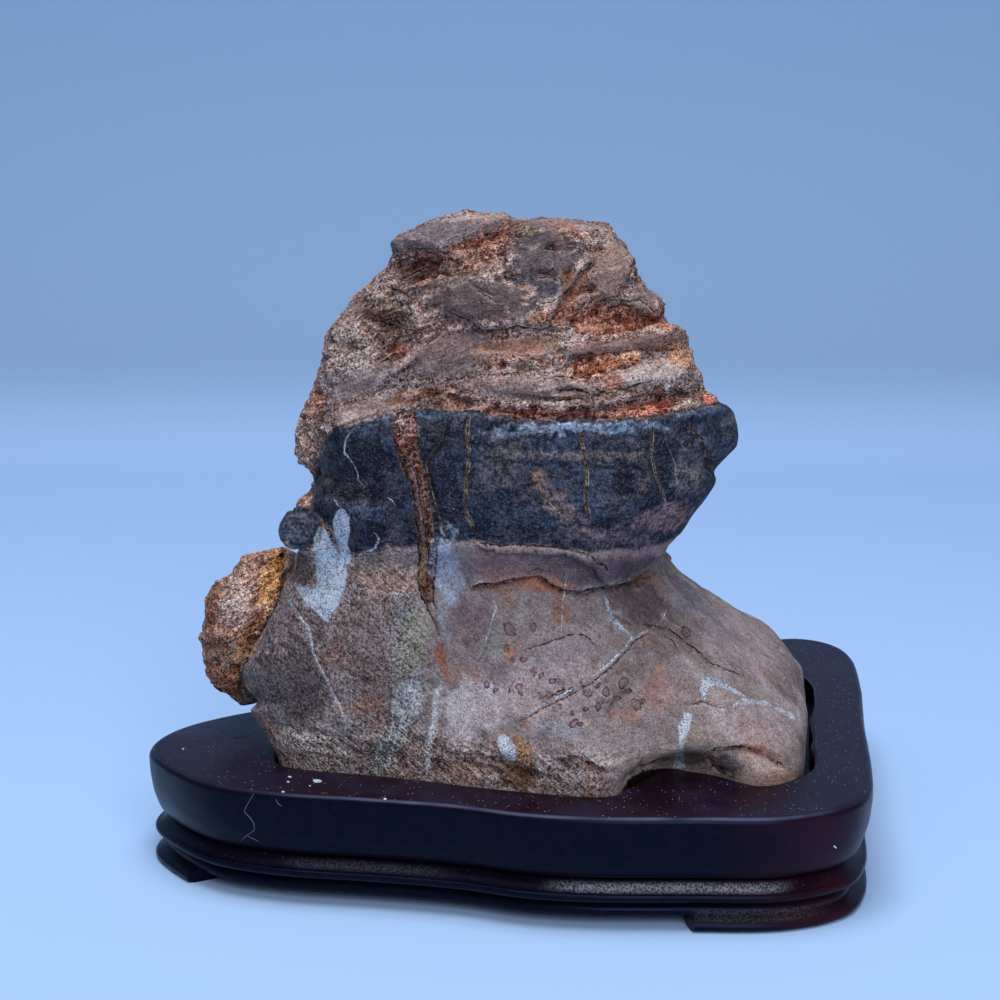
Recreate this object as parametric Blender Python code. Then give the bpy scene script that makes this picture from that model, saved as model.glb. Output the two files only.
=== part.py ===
"""A scholars rock on its carved stand: one stone, seated in a board that is glued on a moulded plinth.

Lengths are in millimetres up to solid(), which makes metres of them. The outlines are drawn in plan, as the
display is seen from the front, with X to the right and Y away from the viewer. The stand's long axis runs askew
in that view, so solid() turns every piece by DISPLAY_TURN. The result has the stand's length along X, its
middle over the origin and its feet on Z = 0.
"""

import math

import bmesh
import bpy
import numpy as np
from mathutils import Matrix, Vector, noise

MM = 0.001
DISPLAY_TURN = math.radians(-26)

# Driving sizes of the stand
STAND_TOP = 20.0
SEAT_FLOOR = 15.3
SEAT_CLEARANCE = 0.9
FOOT_REACH = 22.0
FOOT_HOLLOW = 14.0
FOOT_HOLLOW_SHIFT = 20.0

# Driving sizes of the stone
STONE_TOP = 112.4
STONE_GAP = 0.3
STONE_CHAMFER = 1.4
STONE_VOXEL = 1.1
STONE_TRIANGLES = 5000

# Heights at which the stone's surface changes: smooth up to its seat, and broken above the dark band
STILL_BELOW = 21.5
STILL_FADE = 9.0
CAP_BOTTOM = 82.0
CAP_FADE = 6.0

# Steepness of the cap's layers, and the places where its ledges and the rough left lobe begin
LAYER_TILT = 0.1
LEDGES_FROM = 2.0
LEDGES_FADE = 14.0
LOBE_FROM = -38.0
LOBE_FADE = 6.0

# Fineness of the curves, in points for each span, and the angles over which an edge is drawn sharp
SPAN_STEPS = 4
SEAT_STEPS = 6
WOOD_EDGE = 32
ROCK_EDGE = 60

# Plan of the stand: three rounded corners, with a straight far side
STAND_OUTLINE = [
    (-62.3, -12.4), (-59.6, -21.5), (-50.5, -33.0), (-38.0, -38.8), (-22.0, -41.8), (-8.0, -44.9),
    (3.5, -49.1), (15.0, -51.0), (31.0, -51.2), (46.0, -50.9), (57.5, -45.2), (62.6, -35.5),
    (65.0, -20.0), (67.4, 2.0), (70.4, 24.0), (72.0, 45.0), (69.4, 56.2), (62.0, 61.0),
    (52.0, 57.2), (33.0, 47.2), (10.0, 35.4), (-14.0, 24.2), (-34.0, 14.6), (-48.5, 7.4),
    (-58.6, -2.0),
]

# Profiles of the stand's edge, from the bottom up: how far in from the outline, and at what height
BOARD_PROFILE = [
    (3.2, 8.7), (2.0, 9.3), (1.2, 10.8), (0.5, 13.2), (0.1, 16.0), (0.0, 18.7), (0.3, 19.6), (1.0, 20.0),
]
PLINTH_PROFILE = [
    (3.2, 2.2), (2.8, 2.5), (2.9, 3.4), (3.7, 4.4), (3.1, 4.9), (1.3, 5.1), (0.7, 5.7), (0.9, 6.4),
    (1.7, 6.7), (3.3, 8.0), (4.2, 8.4),
]
FOOT_PROFILE = [(1.9, 0.0), (0.9, 0.4), (0.6, 1.1), (1.1, 1.7), (3.0, 2.6), (3.6, 3.4)]

# Feet, one under each rounded corner: the middle of the circle that bounds each
FEET = {"left": (-62.5, -8.0), "front_right": (52.5, -43.5), "far_right": (68.0, 52.0)}

# Foot of the stone, where it goes into its seat. Points 5 to 7 are the hollow under its front edge
STONE_FOOT = [
    (-38.4, -14.5), (-36.6, -24.0), (-19.0, -29.4), (0.0, -36.0), (16.6, -39.7), (21.4, -34.6),
    (28.0, -26.0), (36.5, -28.4), (44.0, -34.2), (51.4, -28.0), (54.8, -11.0), (57.4, 10.0),
    (58.4, 31.0), (51.6, 42.0), (36.0, 33.0), (10.0, 20.4), (-16.0, 8.6), (-33.4, -0.6),
]

# Router bites that widen the seat: middle, in foot points, half width, in foot points, and depth
SEAT_BITES = [(9.4, 0.55, 1.6), (10.2, 0.35, 0.8), (11.6, 0.95, 2.6), (15.0, 0.8, 1.4)]

# Sections through the stone's body above its foot, point for point with STONE_FOOT
STONE_BODY = {
    26.0: [
        (-43.0, -14.0), (-38.6, -24.4), (-20.0, -30.0), (-1.0, -35.3), (15.6, -38.4), (22.0, -37.0),
        (28.6, -34.8), (35.4, -33.0), (42.6, -30.6), (49.4, -23.4), (55.0, -8.4), (57.2, 9.0),
        (57.0, 28.0), (49.6, 38.4), (34.4, 31.0), (9.6, 19.4), (-16.6, 8.8), (-37.0, 0.4),
    ],
    33.0: [
        (-44.3, -13.6), (-39.0, -24.5), (-20.4, -30.0), (-1.6, -34.6), (14.6, -37.0), (20.8, -35.8),
        (26.6, -33.2), (32.4, -30.0), (39.0, -25.4), (45.6, -17.6), (52.0, -5.0), (53.6, 8.6),
        (52.0, 23.0), (44.4, 31.6), (30.6, 27.0), (8.6, 17.0), (-17.0, 8.4), (-38.4, 0.4),
    ],
    42.0: [
        (-40.6, -13.0), (-37.0, -24.0), (-20.2, -29.4), (-2.0, -33.2), (12.0, -34.8), (17.8, -33.2),
        (22.6, -30.2), (27.4, -26.0), (32.4, -20.4), (37.0, -12.6), (39.8, -3.0), (40.2, 6.4),
        (37.8, 15.0), (32.6, 20.6), (22.6, 19.8), (5.0, 13.4), (-16.4, 7.0), (-35.6, -0.4),
    ],
    51.0: [
        (-37.4, -12.2), (-34.8, -23.2), (-19.8, -28.6), (-2.6, -31.4), (9.4, -32.0), (14.6, -30.4),
        (18.6, -27.6), (22.4, -23.4), (25.8, -18.4), (28.8, -12.4), (30.0, -6.4), (29.2, -0.2),
        (26.4, 5.6), (22.6, 9.6), (15.0, 10.6), (1.6, 9.4), (-15.6, 5.8), (-32.6, -0.6),
    ],
    62.0: [
        (-35.0, -11.4), (-32.4, -22.0), (-19.0, -27.6), (-3.2, -29.8), (7.4, -30.0), (12.2, -28.6),
        (16.0, -26.0), (19.4, -22.2), (22.2, -17.6), (25.4, -12.2), (26.8, -6.6), (26.2, -1.0),
        (22.6, 4.0), (18.6, 7.4), (11.4, 8.8), (-1.0, 8.6), (-15.0, 6.0), (-30.4, 0.0),
    ],
}

# Eggs stacked to make the band and the cap: height, then left, right, near and far sides, and squareness
BAND = [
    (56.5, -33.0, 30.0, -29.5, 4.0, 2.4), (60.0, -33.6, 33.0, -34.6, 6.0, 2.5),
    (65.0, -33.2, 35.2, -36.0, 7.4, 2.6), (72.0, -32.8, 37.0, -36.0, 8.0, 2.7),
    (79.0, -32.4, 38.0, -34.8, 8.0, 2.7), (84.0, -31.4, 36.6, -32.6, 7.6, 2.6),
]
CAP = [
    (67.5, -33.0, 20.0, -24.0, 6.0, 2.2), (71.0, -36.4, 28.0, -28.0, 7.6, 2.4),
    (77.0, -35.6, 33.0, -30.4, 9.0, 2.6), (84.0, -33.2, 36.0, -31.4, 9.4, 2.7),
    (90.0, -31.2, 32.6, -29.8, 8.6, 2.6), (96.5, -27.6, 28.6, -27.0, 7.0, 2.5),
    (103.0, -20.4, 24.2, -23.4, 5.0, 2.6), (108.0, -16.2, 21.4, -19.4, 3.2, 2.8),
    (111.4, -10.6, 16.6, -15.4, 1.2, 2.8), (STONE_TOP, -6.0, 9.0, -11.6, -1.0, 2.4),
]

# Lobes that stand out of the rock: middle, half sizes and lean about Y
LOBES = {
    "knob": ((-33.4, -24.2, 61.8), (4.1, 4.3, 3.9), 0.0),
    "knob_root": ((-30.6, -19.6, 60.4), (6.0, 6.0, 4.4), 0.1),
    "orange_lobe": ((-44.8, -3.4, 39.6), (9.2, 9.8, 15.4), 0.22),
    "orange_heel": ((-39.0, -2.0, 33.0), (9.6, 9.6, 8.0), 0.0),
    "dark_lobe": ((36.2, -8.8, 75.2), (6.2, 9.4, 6.2), 0.0),
    "near_bulge": ((12.0, -27.0, 66.6), (17.0, 10.6, 6.4), 0.0),
    "far_spur": ((-13.0, -2.0, 41.0), (20.0, 11.6, 19.0), -0.3),
    "far_shoulder": ((8.0, -1.0, 79.0), (26.0, 12.6, 15.0), 0.3),
}

# Ledges of the cap's layers, on the right-hand side: middle height and how far each stands out
LEDGES = [(89.4, 1.1), (95.6, 1.5), (101.0, 0.8), (106.4, 0.9)]
LEDGE_THICKNESS = 1.7


def curve_ring(points, per_span):
    """A closed smooth curve through plan points, with per_span points for each of its spans."""
    count = len(points)
    ring = []
    for index in range(count):
        before, start, end, after = (Vector(points[(index + step) % count]) for step in (-1, 0, 1, 2))
        for step in range(per_span):
            t = step / per_span
            ring.append(
                0.5 * (2 * start + (end - before) * t + (2 * before - 5 * start + 4 * end - after) * t ** 2
                       + (3 * start - before - 3 * end + after) * t ** 3)
            )
    return ring


def outset_ring(ring, outset):
    """The anticlockwise ring moved outwards by a distance, or by a distance for each of its points."""
    count = len(ring)
    distances = outset if isinstance(outset, list) else [outset] * count
    moved = []
    for index, distance in enumerate(distances):
        along = (ring[(index + 1) % count] - ring[index - 1]).normalized()
        moved.append(ring[index] + distance * Vector((along.y, -along.x)))
    return moved


def at_height(ring, height):
    return [Vector((point.x, point.y, height)) for point in ring]


def egg(left, right, near, far, squareness, count=48):
    """A rounded plan shape that reaches four sides, squarer for a higher squareness."""
    middle = Vector(((left + right) / 2, (near + far) / 2))
    half = Vector(((right - left) / 2, (far - near) / 2))
    ring = []
    for index in range(count):
        turn = 2 * math.pi * index / count - math.pi
        across = math.copysign(abs(math.cos(turn)) ** (2 / squareness), math.cos(turn))
        deep = math.copysign(abs(math.sin(turn)) ** (2 / squareness), math.sin(turn))
        ring.append(middle + Vector((half.x * across, half.y * deep)))
    return ring


def loft(shape, rings):
    """Closed skin over stacked rings of equal counts, with a flat face on the first and the last."""
    loops = [[shape.verts.new(point) for point in ring] for ring in rings]
    for lower, upper in zip(loops, loops[1:]):
        for index in range(len(lower)):
            after = (index + 1) % len(lower)
            shape.faces.new((lower[index], lower[after], upper[after], upper[index]))
    shape.faces.new(list(reversed(loops[0])))
    shape.faces.new(loops[-1])


def mesh_object(name, shape, material=None):
    """A new object in the scene, made from a bmesh."""
    mesh = bpy.data.meshes.new(name)
    bmesh.ops.recalc_face_normals(shape, faces=shape.faces)
    shape.to_mesh(mesh)
    shape.free()
    piece = bpy.data.objects.new(name, mesh)
    bpy.context.scene.collection.objects.link(piece)
    if material:
        mesh.materials.append(material)
    return piece


def settle(piece):
    """Replaces the object's mesh with what its modifiers make of it."""
    graph = bpy.context.evaluated_depsgraph_get()
    result = bpy.data.meshes.new_from_object(piece.evaluated_get(graph))
    piece.modifiers.clear()
    piece.data = result


def combine(piece, other, operation):
    """Joins or cuts a piece with another closed mesh, which is then removed."""
    modifier = piece.modifiers.new(operation.title(), "BOOLEAN")
    modifier.operation = operation
    modifier.object = other
    settle(piece)
    bpy.data.objects.remove(other)


def stand_outline():
    return curve_ring(STAND_OUTLINE, SPAN_STEPS)


def stand_middle():
    """The middle of the stand's outline, once its long axis lies along X."""
    turned = [Matrix.Rotation(DISPLAY_TURN, 2) @ point for point in stand_outline()]
    low = Vector((min(point.x for point in turned), min(point.y for point in turned), 0.0))
    high = Vector((max(point.x for point in turned), max(point.y for point in turned), 0.0))
    return (low + high) / 2


def solid(piece, sharp_angle):
    """Turns and moves the finished piece to the object's own frame, in metres, and shades it."""
    turn = Matrix.Rotation(DISPLAY_TURN, 4, "Z")
    piece.data.transform(Matrix.Scale(MM, 4) @ Matrix.Translation(-stand_middle()) @ turn)
    piece.data.shade_smooth()
    piece.data.set_sharp_from_angle(angle=math.radians(sharp_angle))


def surface(name, colour, roughness):
    """A plain non-metal finish."""
    material = bpy.data.materials.new(name)
    material.use_nodes = True
    shader = material.node_tree.nodes["Principled BSDF"]
    shader.inputs["Base Color"].default_value = (*colour, 1.0)
    shader.inputs["Roughness"].default_value = roughness
    shader.inputs["Metallic"].default_value = 0.0
    return material


def edge_moulding(profile):
    """The stand's outline carried up through an edge profile."""
    return [at_height(outset_ring(stand_outline(), -inset), height) for inset, height in profile]


def seat_ring():
    """The edge of the seat: the stone's foot with its clearance, and the router's bites."""
    foot = curve_ring(STONE_FOOT, SEAT_STEPS)
    clearances = []
    for index in range(len(foot)):
        place = index / SEAT_STEPS
        bites = [depth * max(0.0, 1 - ((place - middle) / half) ** 2) for middle, half, depth in SEAT_BITES]
        clearances.append(SEAT_CLEARANCE + max(bites))
    return outset_ring(foot, clearances)


def make_seat_board(material):
    shape = bmesh.new()
    loft(shape, edge_moulding(BOARD_PROFILE))
    board = mesh_object("seat_board", shape, material)
    seat = bmesh.new()
    loft(seat, [at_height(seat_ring(), SEAT_FLOOR), at_height(seat_ring(), STAND_TOP + 2)])
    combine(board, mesh_object("seat_cutter", seat), "DIFFERENCE")
    solid(board, WOOD_EDGE)


def disc_block(middle, radius, low, high):
    """An upright cylinder between two heights."""
    shape = bmesh.new()
    place = Matrix.Translation((*middle, (low + high) / 2))
    bmesh.ops.create_cone(
        shape, cap_ends=True, segments=40, radius1=radius, radius2=radius, depth=high - low, matrix=place
    )
    return mesh_object("disc_block", shape)


def foot_block(corner):
    """One foot: a crescent under a corner, its outer face moulded along the stand's edge."""
    shape = bmesh.new()
    loft(shape, edge_moulding(FOOT_PROFILE))
    block = mesh_object("foot_block", shape)
    inward = (Matrix.Rotation(-DISPLAY_TURN, 2) @ stand_middle().xy - Vector(corner)).normalized()
    hollow = Vector(corner) + FOOT_HOLLOW_SHIFT * inward
    combine(block, disc_block(corner, FOOT_REACH, -1.0, STAND_TOP), "INTERSECT")
    combine(block, disc_block(hollow, FOOT_HOLLOW, -2.0, STAND_TOP), "DIFFERENCE")
    return block


def make_plinth(material):
    shape = bmesh.new()
    loft(shape, edge_moulding(PLINTH_PROFILE))
    plinth = mesh_object("plinth", shape, material)
    for corner in FEET.values():
        combine(plinth, foot_block(corner), "UNION")
    solid(plinth, WOOD_EDGE)


def stone_volumes():
    """The overlapping closed shapes that make up the rock before its surface is worked."""
    shape = bmesh.new()
    foot = curve_ring(STONE_FOOT, SPAN_STEPS)
    bottom = SEAT_FLOOR + STONE_GAP
    rings = [
        at_height(outset_ring(foot, -STONE_CHAMFER), bottom), at_height(foot, bottom + STONE_CHAMFER),
        at_height(foot, STAND_TOP), at_height(foot, STILL_BELOW),
    ]
    for height, section in STONE_BODY.items():
        rings.append(at_height(curve_ring(section, SPAN_STEPS), height))
    loft(shape, rings)
    for eggs in (BAND, CAP):
        loft(shape, [at_height(egg(*sides), height) for height, *sides in eggs])
    for middle, half, lean in LOBES.values():
        place = Matrix.Translation(middle) @ Matrix.Rotation(lean, 4, "Y") @ Matrix.Diagonal((*half, 1.0))
        bmesh.ops.create_icosphere(shape, subdivisions=3, radius=1.0, matrix=place)
    return shape


def share(value, start, length):
    """How far a value has gone along a stretch, from 0 to 1."""
    return min(1.0, max(0.0, (value - start) / length))


def ledge_step(point):
    """How far the cap's layers stand out at a point of its right-hand side."""
    level = point.z + LAYER_TILT * point.x + 1.4 * noise.noise(point * 0.05)
    out = sum(reach * math.exp(-(((level - height) / LEDGE_THICKNESS) ** 2)) for height, reach in LEDGES)
    return share(point.x, LEDGES_FROM, LEDGES_FADE) * out


def relief(point):
    """The rock's own uneven surface: broad swells everywhere, and layered, sharper ones on the broken cap."""
    swell = 1.2 * noise.noise(point * 0.055) + 0.5 * noise.noise(point * 0.13 + Vector((9, 3, 1)))
    layers = Vector((point.x * 0.07, point.y * 0.07, (point.z + LAYER_TILT * point.x) * 0.2))
    broken = 1.3 * noise.fractal(layers, 0.9, 2.1, 3) + 0.5 * noise.noise(point * 0.3)
    cap = share(point.z, CAP_BOTTOM, CAP_FADE)
    lobe = share(-point.x, -LOBE_FROM, LOBE_FADE)
    worked = swell + max(cap, 0.6 * lobe) * broken + cap * ledge_step(point)
    return share(point.z, STILL_BELOW, STILL_FADE) * worked


def work_surface(mesh):
    """Moves every point of the rock along its normal by the relief there."""
    normals = [vertex.normal.copy() for vertex in mesh.vertices]
    for vertex, normal in zip(mesh.vertices, normals):
        vertex.co += normal * relief(vertex.co)


def keep_flat_below(mesh, bottom):
    """Presses the rock's underside flat, so that it lies evenly over the seat."""
    points = np.empty(len(mesh.vertices) * 3)
    mesh.vertices.foreach_get("co", points)
    points[2::3] = np.maximum(points[2::3], bottom)
    mesh.vertices.foreach_set("co", points)


def make_stone(material):
    stone = mesh_object("stone", stone_volumes())
    remesh = stone.modifiers.new("Union", "REMESH")
    remesh.mode = "VOXEL"
    remesh.voxel_size = STONE_VOXEL
    smooth = stone.modifiers.new("Soften", "SMOOTH")
    smooth.iterations = 3
    settle(stone)
    work_surface(stone.data)
    decimate = stone.modifiers.new("Lighten", "DECIMATE")
    decimate.ratio = STONE_TRIANGLES / sum(len(face.vertices) - 2 for face in stone.data.polygons)
    settle(stone)
    keep_flat_below(stone.data, SEAT_FLOOR + STONE_GAP)
    stone.data.materials.clear()
    stone.data.materials.append(material)
    solid(stone, ROCK_EDGE)


for leftover in list(bpy.data.objects):
    bpy.data.objects.remove(leftover)

rock = surface("rock", (0.36, 0.24, 0.20), 0.75)
lacquered_wood = surface("lacquered_wood", (0.035, 0.012, 0.014), 0.32)

make_plinth(lacquered_wood)
make_seat_board(lacquered_wood)
make_stone(rock)
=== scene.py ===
# %% [markdown]
# This lesson gives a scholars rock and its carved stand their looks. On the desk the rock is one natural
# stone, sunk a few millimetres into a shaped seat in a lacquered board, and the board is glued on a moulded
# plinth with three low feet. The solid model already holds the right sizes, so we load it first and treat it
# as a frame that nothing may move. We keep its box, to compare it with the finished piece at the end.

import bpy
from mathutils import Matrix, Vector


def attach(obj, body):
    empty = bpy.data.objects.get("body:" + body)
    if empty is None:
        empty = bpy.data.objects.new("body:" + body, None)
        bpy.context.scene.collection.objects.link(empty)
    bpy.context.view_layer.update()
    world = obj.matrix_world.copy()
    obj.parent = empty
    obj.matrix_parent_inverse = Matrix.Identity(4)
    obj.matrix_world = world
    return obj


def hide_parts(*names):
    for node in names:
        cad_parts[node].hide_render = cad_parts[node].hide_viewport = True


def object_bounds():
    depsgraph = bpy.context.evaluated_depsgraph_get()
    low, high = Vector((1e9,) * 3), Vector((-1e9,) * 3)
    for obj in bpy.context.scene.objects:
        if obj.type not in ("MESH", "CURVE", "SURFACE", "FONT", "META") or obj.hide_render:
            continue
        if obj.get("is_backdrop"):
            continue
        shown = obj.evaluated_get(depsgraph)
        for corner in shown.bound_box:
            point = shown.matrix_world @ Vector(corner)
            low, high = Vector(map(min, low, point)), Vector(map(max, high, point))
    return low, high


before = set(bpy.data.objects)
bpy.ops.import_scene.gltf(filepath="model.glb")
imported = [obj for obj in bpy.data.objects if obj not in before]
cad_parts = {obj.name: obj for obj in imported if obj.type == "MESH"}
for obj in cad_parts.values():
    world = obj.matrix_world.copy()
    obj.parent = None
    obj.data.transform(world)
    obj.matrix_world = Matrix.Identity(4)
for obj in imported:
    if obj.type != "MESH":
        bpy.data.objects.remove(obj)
cad_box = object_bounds()
print("solid model:", sorted(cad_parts), [tuple(round(1000 * side, 1) for side in c) for c in cad_box])

# %% Tools for numbers and meshes
import math

import bmesh
import bpy
import numpy as np
from mathutils import Matrix, Vector, bvhtree, kdtree

MM = 0.001

# %% [markdown]
# The photograph shows the stand askew: its long side runs 26 degrees off the picture. All that we trace from
# the photograph is easier to write as the viewer sees it, in millimetres, with X to the right and Y away. We
# call that the display frame. The finished meshes are turned into the model's own frame at the very end, so
# each number below can be checked against the picture with a ruler.

# %% From the display frame to the model's frame
DISPLAY_TURN = math.radians(-26)
STAND_OUTLINE = [
    (-62.3, -12.4), (-59.6, -21.5), (-50.5, -33.0), (-38.0, -38.8), (-22.0, -41.8), (-8.0, -44.9),
    (3.5, -49.1), (15.0, -51.0), (31.0, -51.2), (46.0, -50.9), (57.5, -45.2), (62.6, -35.5),
    (65.0, -20.0), (67.4, 2.0), (70.4, 24.0), (72.0, 45.0), (69.4, 56.2), (62.0, 61.0),
    (52.0, 57.2), (33.0, 47.2), (10.0, 35.4), (-14.0, 24.2), (-34.0, 14.6), (-48.5, 7.4),
    (-58.6, -2.0),
]


def closed_curve(points, steps):
    """A smooth closed curve through plan points, with a number of steps for each span."""
    points = np.array(points, float)
    before, after, beyond = (np.roll(points, shift, axis=0) for shift in (1, -1, -2))
    rows = []
    for step in range(steps):
        t = step / steps
        rows.append(0.5 * (2 * points + (after - before) * t
                           + (2 * before - 5 * points + 4 * after - beyond) * t ** 2
                           + (3 * points - before - 3 * after + beyond) * t ** 3))
    return np.stack(rows, axis=1).reshape(-1, points.shape[1])


coarse = closed_curve(STAND_OUTLINE, 4)
turned = coarse @ np.array(Matrix.Rotation(DISPLAY_TURN, 2)).T
STAND_MIDDLE = (turned.min(0) + turned.max(0)) / 2
TO_MODEL = (Matrix.Scale(MM, 4) @ Matrix.Translation((-STAND_MIDDLE[0], -STAND_MIDDLE[1], 0))
            @ Matrix.Rotation(DISPLAY_TURN, 4, "Z"))
FROM_MODEL = TO_MODEL.inverted()
print("the stand's middle, once turned, in mm:", STAND_MIDDLE.round(3))

# %% [markdown]
# A camera at the photograph's place comes first, because every later choice is judged through it. It stands
# 388 mm in front and looks 11.5 degrees down. The lens comes from the picture's perspective: one pixel is
# 1/2200 of the distance, which is a 79 mm lens on a 36 mm sensor.

# %% The camera
def placed(name, data):
    """A new object in the scene, for a mesh, a lamp or a camera."""
    made = bpy.data.objects.new(name, data)
    bpy.context.scene.collection.objects.link(made)
    return made


CAMERA_PLACE = Vector((0, -388.2, 141.0))
CAMERA_AIM = Vector((0, 0, 62.0))
PIXELS_PER_RADIAN = 2200
PICTURE_SIDE = 1000

camera_data = bpy.data.cameras.new("photo_camera")
camera_data.sensor_width = 36
camera_data.lens = camera_data.sensor_width * PIXELS_PER_RADIAN / PICTURE_SIDE
camera = placed("photo_camera", camera_data)
camera.location = TO_MODEL @ CAMERA_PLACE
camera.rotation_euler = (TO_MODEL @ CAMERA_AIM - camera.location).to_track_quat("-Z", "Y").to_euler()
bpy.context.scene.camera = camera
print("lens:", round(camera_data.lens, 1), "mm")

# %% [markdown]
# The other way round, we need to know which pixel a point of the rock is seen at. Two small functions do
# this: seen_at projects points, and touch sends a ray through a pixel and returns where it lands on a mesh.

# %% From points to pixels, and back
view_ahead = np.array((CAMERA_AIM - CAMERA_PLACE).normalized())
view_right = np.array((1.0, 0.0, 0.0))
view_up = np.cross(view_right, view_ahead)


def seen_at(points):
    """The photograph's pixels, across and down, at which points of the display frame are seen."""
    away = points - np.array(CAMERA_PLACE)
    depth = away @ view_ahead
    half = PICTURE_SIDE / 2
    return np.stack([half + PIXELS_PER_RADIAN * (away @ view_right) / depth,
                     half - PIXELS_PER_RADIAN * (away @ view_up) / depth], axis=1)


def touch(pixel, tree):
    """Where the ray through a pixel lands on a mesh in the display frame, and the surface's direction."""
    across, down = ((value - PICTURE_SIDE / 2) / PIXELS_PER_RADIAN for value in pixel)
    ray = Vector(view_ahead + across * view_right - down * view_up)
    place, normal, _, _ = tree.ray_cast(CAMERA_PLACE, ray)
    return place, normal


print("the camera's aim is seen at", seen_at(np.array([CAMERA_AIM]))[0].round(1))

# %% [markdown]
# The display stands on a sheet of pale blue paper that rises behind it in one sweep, with no line where floor
# turns into wall. A strip that follows a quarter circle does the same. Every material in this lesson is built
# with the same few nodes, so a small class adds them in one line each.

# %% Paper sweep
SWEEP_START = 340
SWEEP_RADIUS = 160
SWEEP_TOP = 1500
SWEEP_HALF_WIDTH = 1800


def mesh_piece(name, points, faces, material, smooth=True):
    """A mesh made in the display frame, in millimetres, and turned into the model's frame."""
    mesh = bpy.data.meshes.new(name)
    mesh.from_pydata(np.asarray(points).tolist(), [], [tuple(face) for face in faces])
    mesh.transform(TO_MODEL)
    mesh.materials.append(material)
    if smooth:
        mesh.shade_smooth()
    return placed(name, mesh)


class Finish:
    """A material, with short ways to add the nodes that its surface needs. Lengths are in millimetres."""

    def __init__(self, name, **settings):
        self.material = bpy.data.materials.new(name)
        self.material.use_nodes = True
        self.tree = self.material.node_tree
        self.shader = self.tree.nodes["Principled BSDF"]
        self.set(**settings)
        place = self.node("ShaderNodeTexCoord").outputs["Object"]
        self.place = self.vector("SCALE", place, Scale=1 / MM)

    def set(self, **settings):
        """Sets or links the shader's sockets: Base_Color is the socket Base Color."""
        for name, value in settings.items():
            self.feed(self.shader.inputs[name.replace("_", " ")], value)

    def feed(self, socket, value):
        if isinstance(value, bpy.types.NodeSocket):
            self.tree.links.new(value, socket)
        elif value is not None:
            if socket.type == "RGBA" and len(value) == 3:
                value = (*value, 1.0)
            socket.default_value = value

    def node(self, kind, inputs=(), **settings):
        made = self.tree.nodes.new(kind)
        for name, value in settings.items():
            setattr(made, name, value)
        for socket, value in zip(made.inputs, inputs):
            self.feed(socket, value)
        return made

    def math(self, operation, *values):
        return self.node("ShaderNodeMath", values, operation=operation).outputs[0]

    def times(self, first, *others):
        for other in others:
            first = self.math("MULTIPLY", first, other)
        return first

    def plus(self, first, *others):
        for other in others:
            first = self.math("ADD", first, other)
        return first

    def vector(self, operation, *values, Scale=None):
        made = self.node("ShaderNodeVectorMath", values, operation=operation)
        if Scale is not None:
            made.inputs["Scale"].default_value = Scale
        return made.outputs[0]

    def stretched(self, across, deep, high):
        """The place, divided by the lengths over which a pattern runs along each axis."""
        return self.vector("DIVIDE", self.place, (across, deep, high))

    def noise(self, size, detail=3.0, roughness=0.55, place=None):
        made = self.node("ShaderNodeTexNoise")
        self.feed(made.inputs["Vector"], place or self.place)
        for name, value in (("Scale", 1 / size), ("Detail", detail), ("Roughness", roughness)):
            made.inputs[name].default_value = value
        return made.outputs["Fac"]

    def cells(self, size):
        """The distance to the nearest of many scattered points, and a chance value for each of them."""
        made = self.node("ShaderNodeTexVoronoi")
        self.feed(made.inputs["Vector"], self.place)
        made.inputs["Scale"].default_value = 1 / size
        chance = self.node("ShaderNodeSeparateXYZ", [made.outputs["Color"]]).outputs["X"]
        return made.outputs["Distance"], chance

    def ramp(self, value, low, high, start=0.0, end=1.0):
        """Start where the value is low, end where it is high, and smooth in between."""
        made = self.node("ShaderNodeMapRange", interpolation_type="SMOOTHSTEP")
        for socket, number in zip(made.inputs, (value, low, high, start, end)):
            self.feed(socket, number)
        return made.outputs[0]

    def mix(self, share, first, second):
        made = self.node("ShaderNodeMix", data_type="RGBA")
        self.feed(made.inputs["Factor"], share)
        colours = [socket for socket in made.inputs if socket.type == "RGBA"]
        self.feed(colours[0], first)
        self.feed(colours[1], second)
        return next(socket for socket in made.outputs if socket.type == "RGBA")

    def painted(self, name, kind="Fac"):
        """The numbers, or with kind Color the colours, that were painted on the mesh under a name."""
        return self.node("ShaderNodeAttribute", attribute_name=name).outputs[kind]

    def bump(self, height, distance, strength=1.0):
        made = self.node("ShaderNodeBump")
        made.inputs["Strength"].default_value = strength
        made.inputs["Distance"].default_value = distance * MM
        self.feed(made.inputs["Height"], height)
        return made.outputs[0]


paper = Finish("pale_paper", Roughness=0.9)
paper.shader.inputs["Specular IOR Level"].default_value = 0.15
height = paper.node("ShaderNodeSeparateXYZ", [paper.place]).outputs["Z"]
# The wall part of the paper is painted darker than the floor: painted shade
paper.set(Base_Color=paper.mix(paper.ramp(height, -2, 30), (0.42, 0.60, 0.86), (0.275, 0.405, 0.585)))

angles = np.linspace(0, math.pi / 2, 25)
profile = [(-700, 0)]
profile += [(SWEEP_START + SWEEP_RADIUS * math.sin(a), SWEEP_RADIUS * (1 - math.cos(a))) for a in angles]
profile.append((SWEEP_START + SWEEP_RADIUS, SWEEP_TOP))
sweep_points = [(side * SWEEP_HALF_WIDTH, y, z) for y, z in profile for side in (-1, 1)]
sweep_faces = [(2 * i, 2 * i + 1, 2 * i + 3, 2 * i + 2) for i in range(len(profile) - 1)]
floor = mesh_piece("paper_sweep", sweep_points, sweep_faces, paper.material)
floor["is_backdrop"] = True
print("paper sweep:", len(sweep_faces), "faces")

# %% [markdown]
# The light is soft and cool: the shadows have wide edges and the glossy board mirrors no hard spot. So there
# is one large softbox overhead, a weaker one beside the camera, and a pale sky that fills the shadows.

# %% Soft, cool light
LIGHT_TINT = (0.88, 0.91, 1.0)


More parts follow.
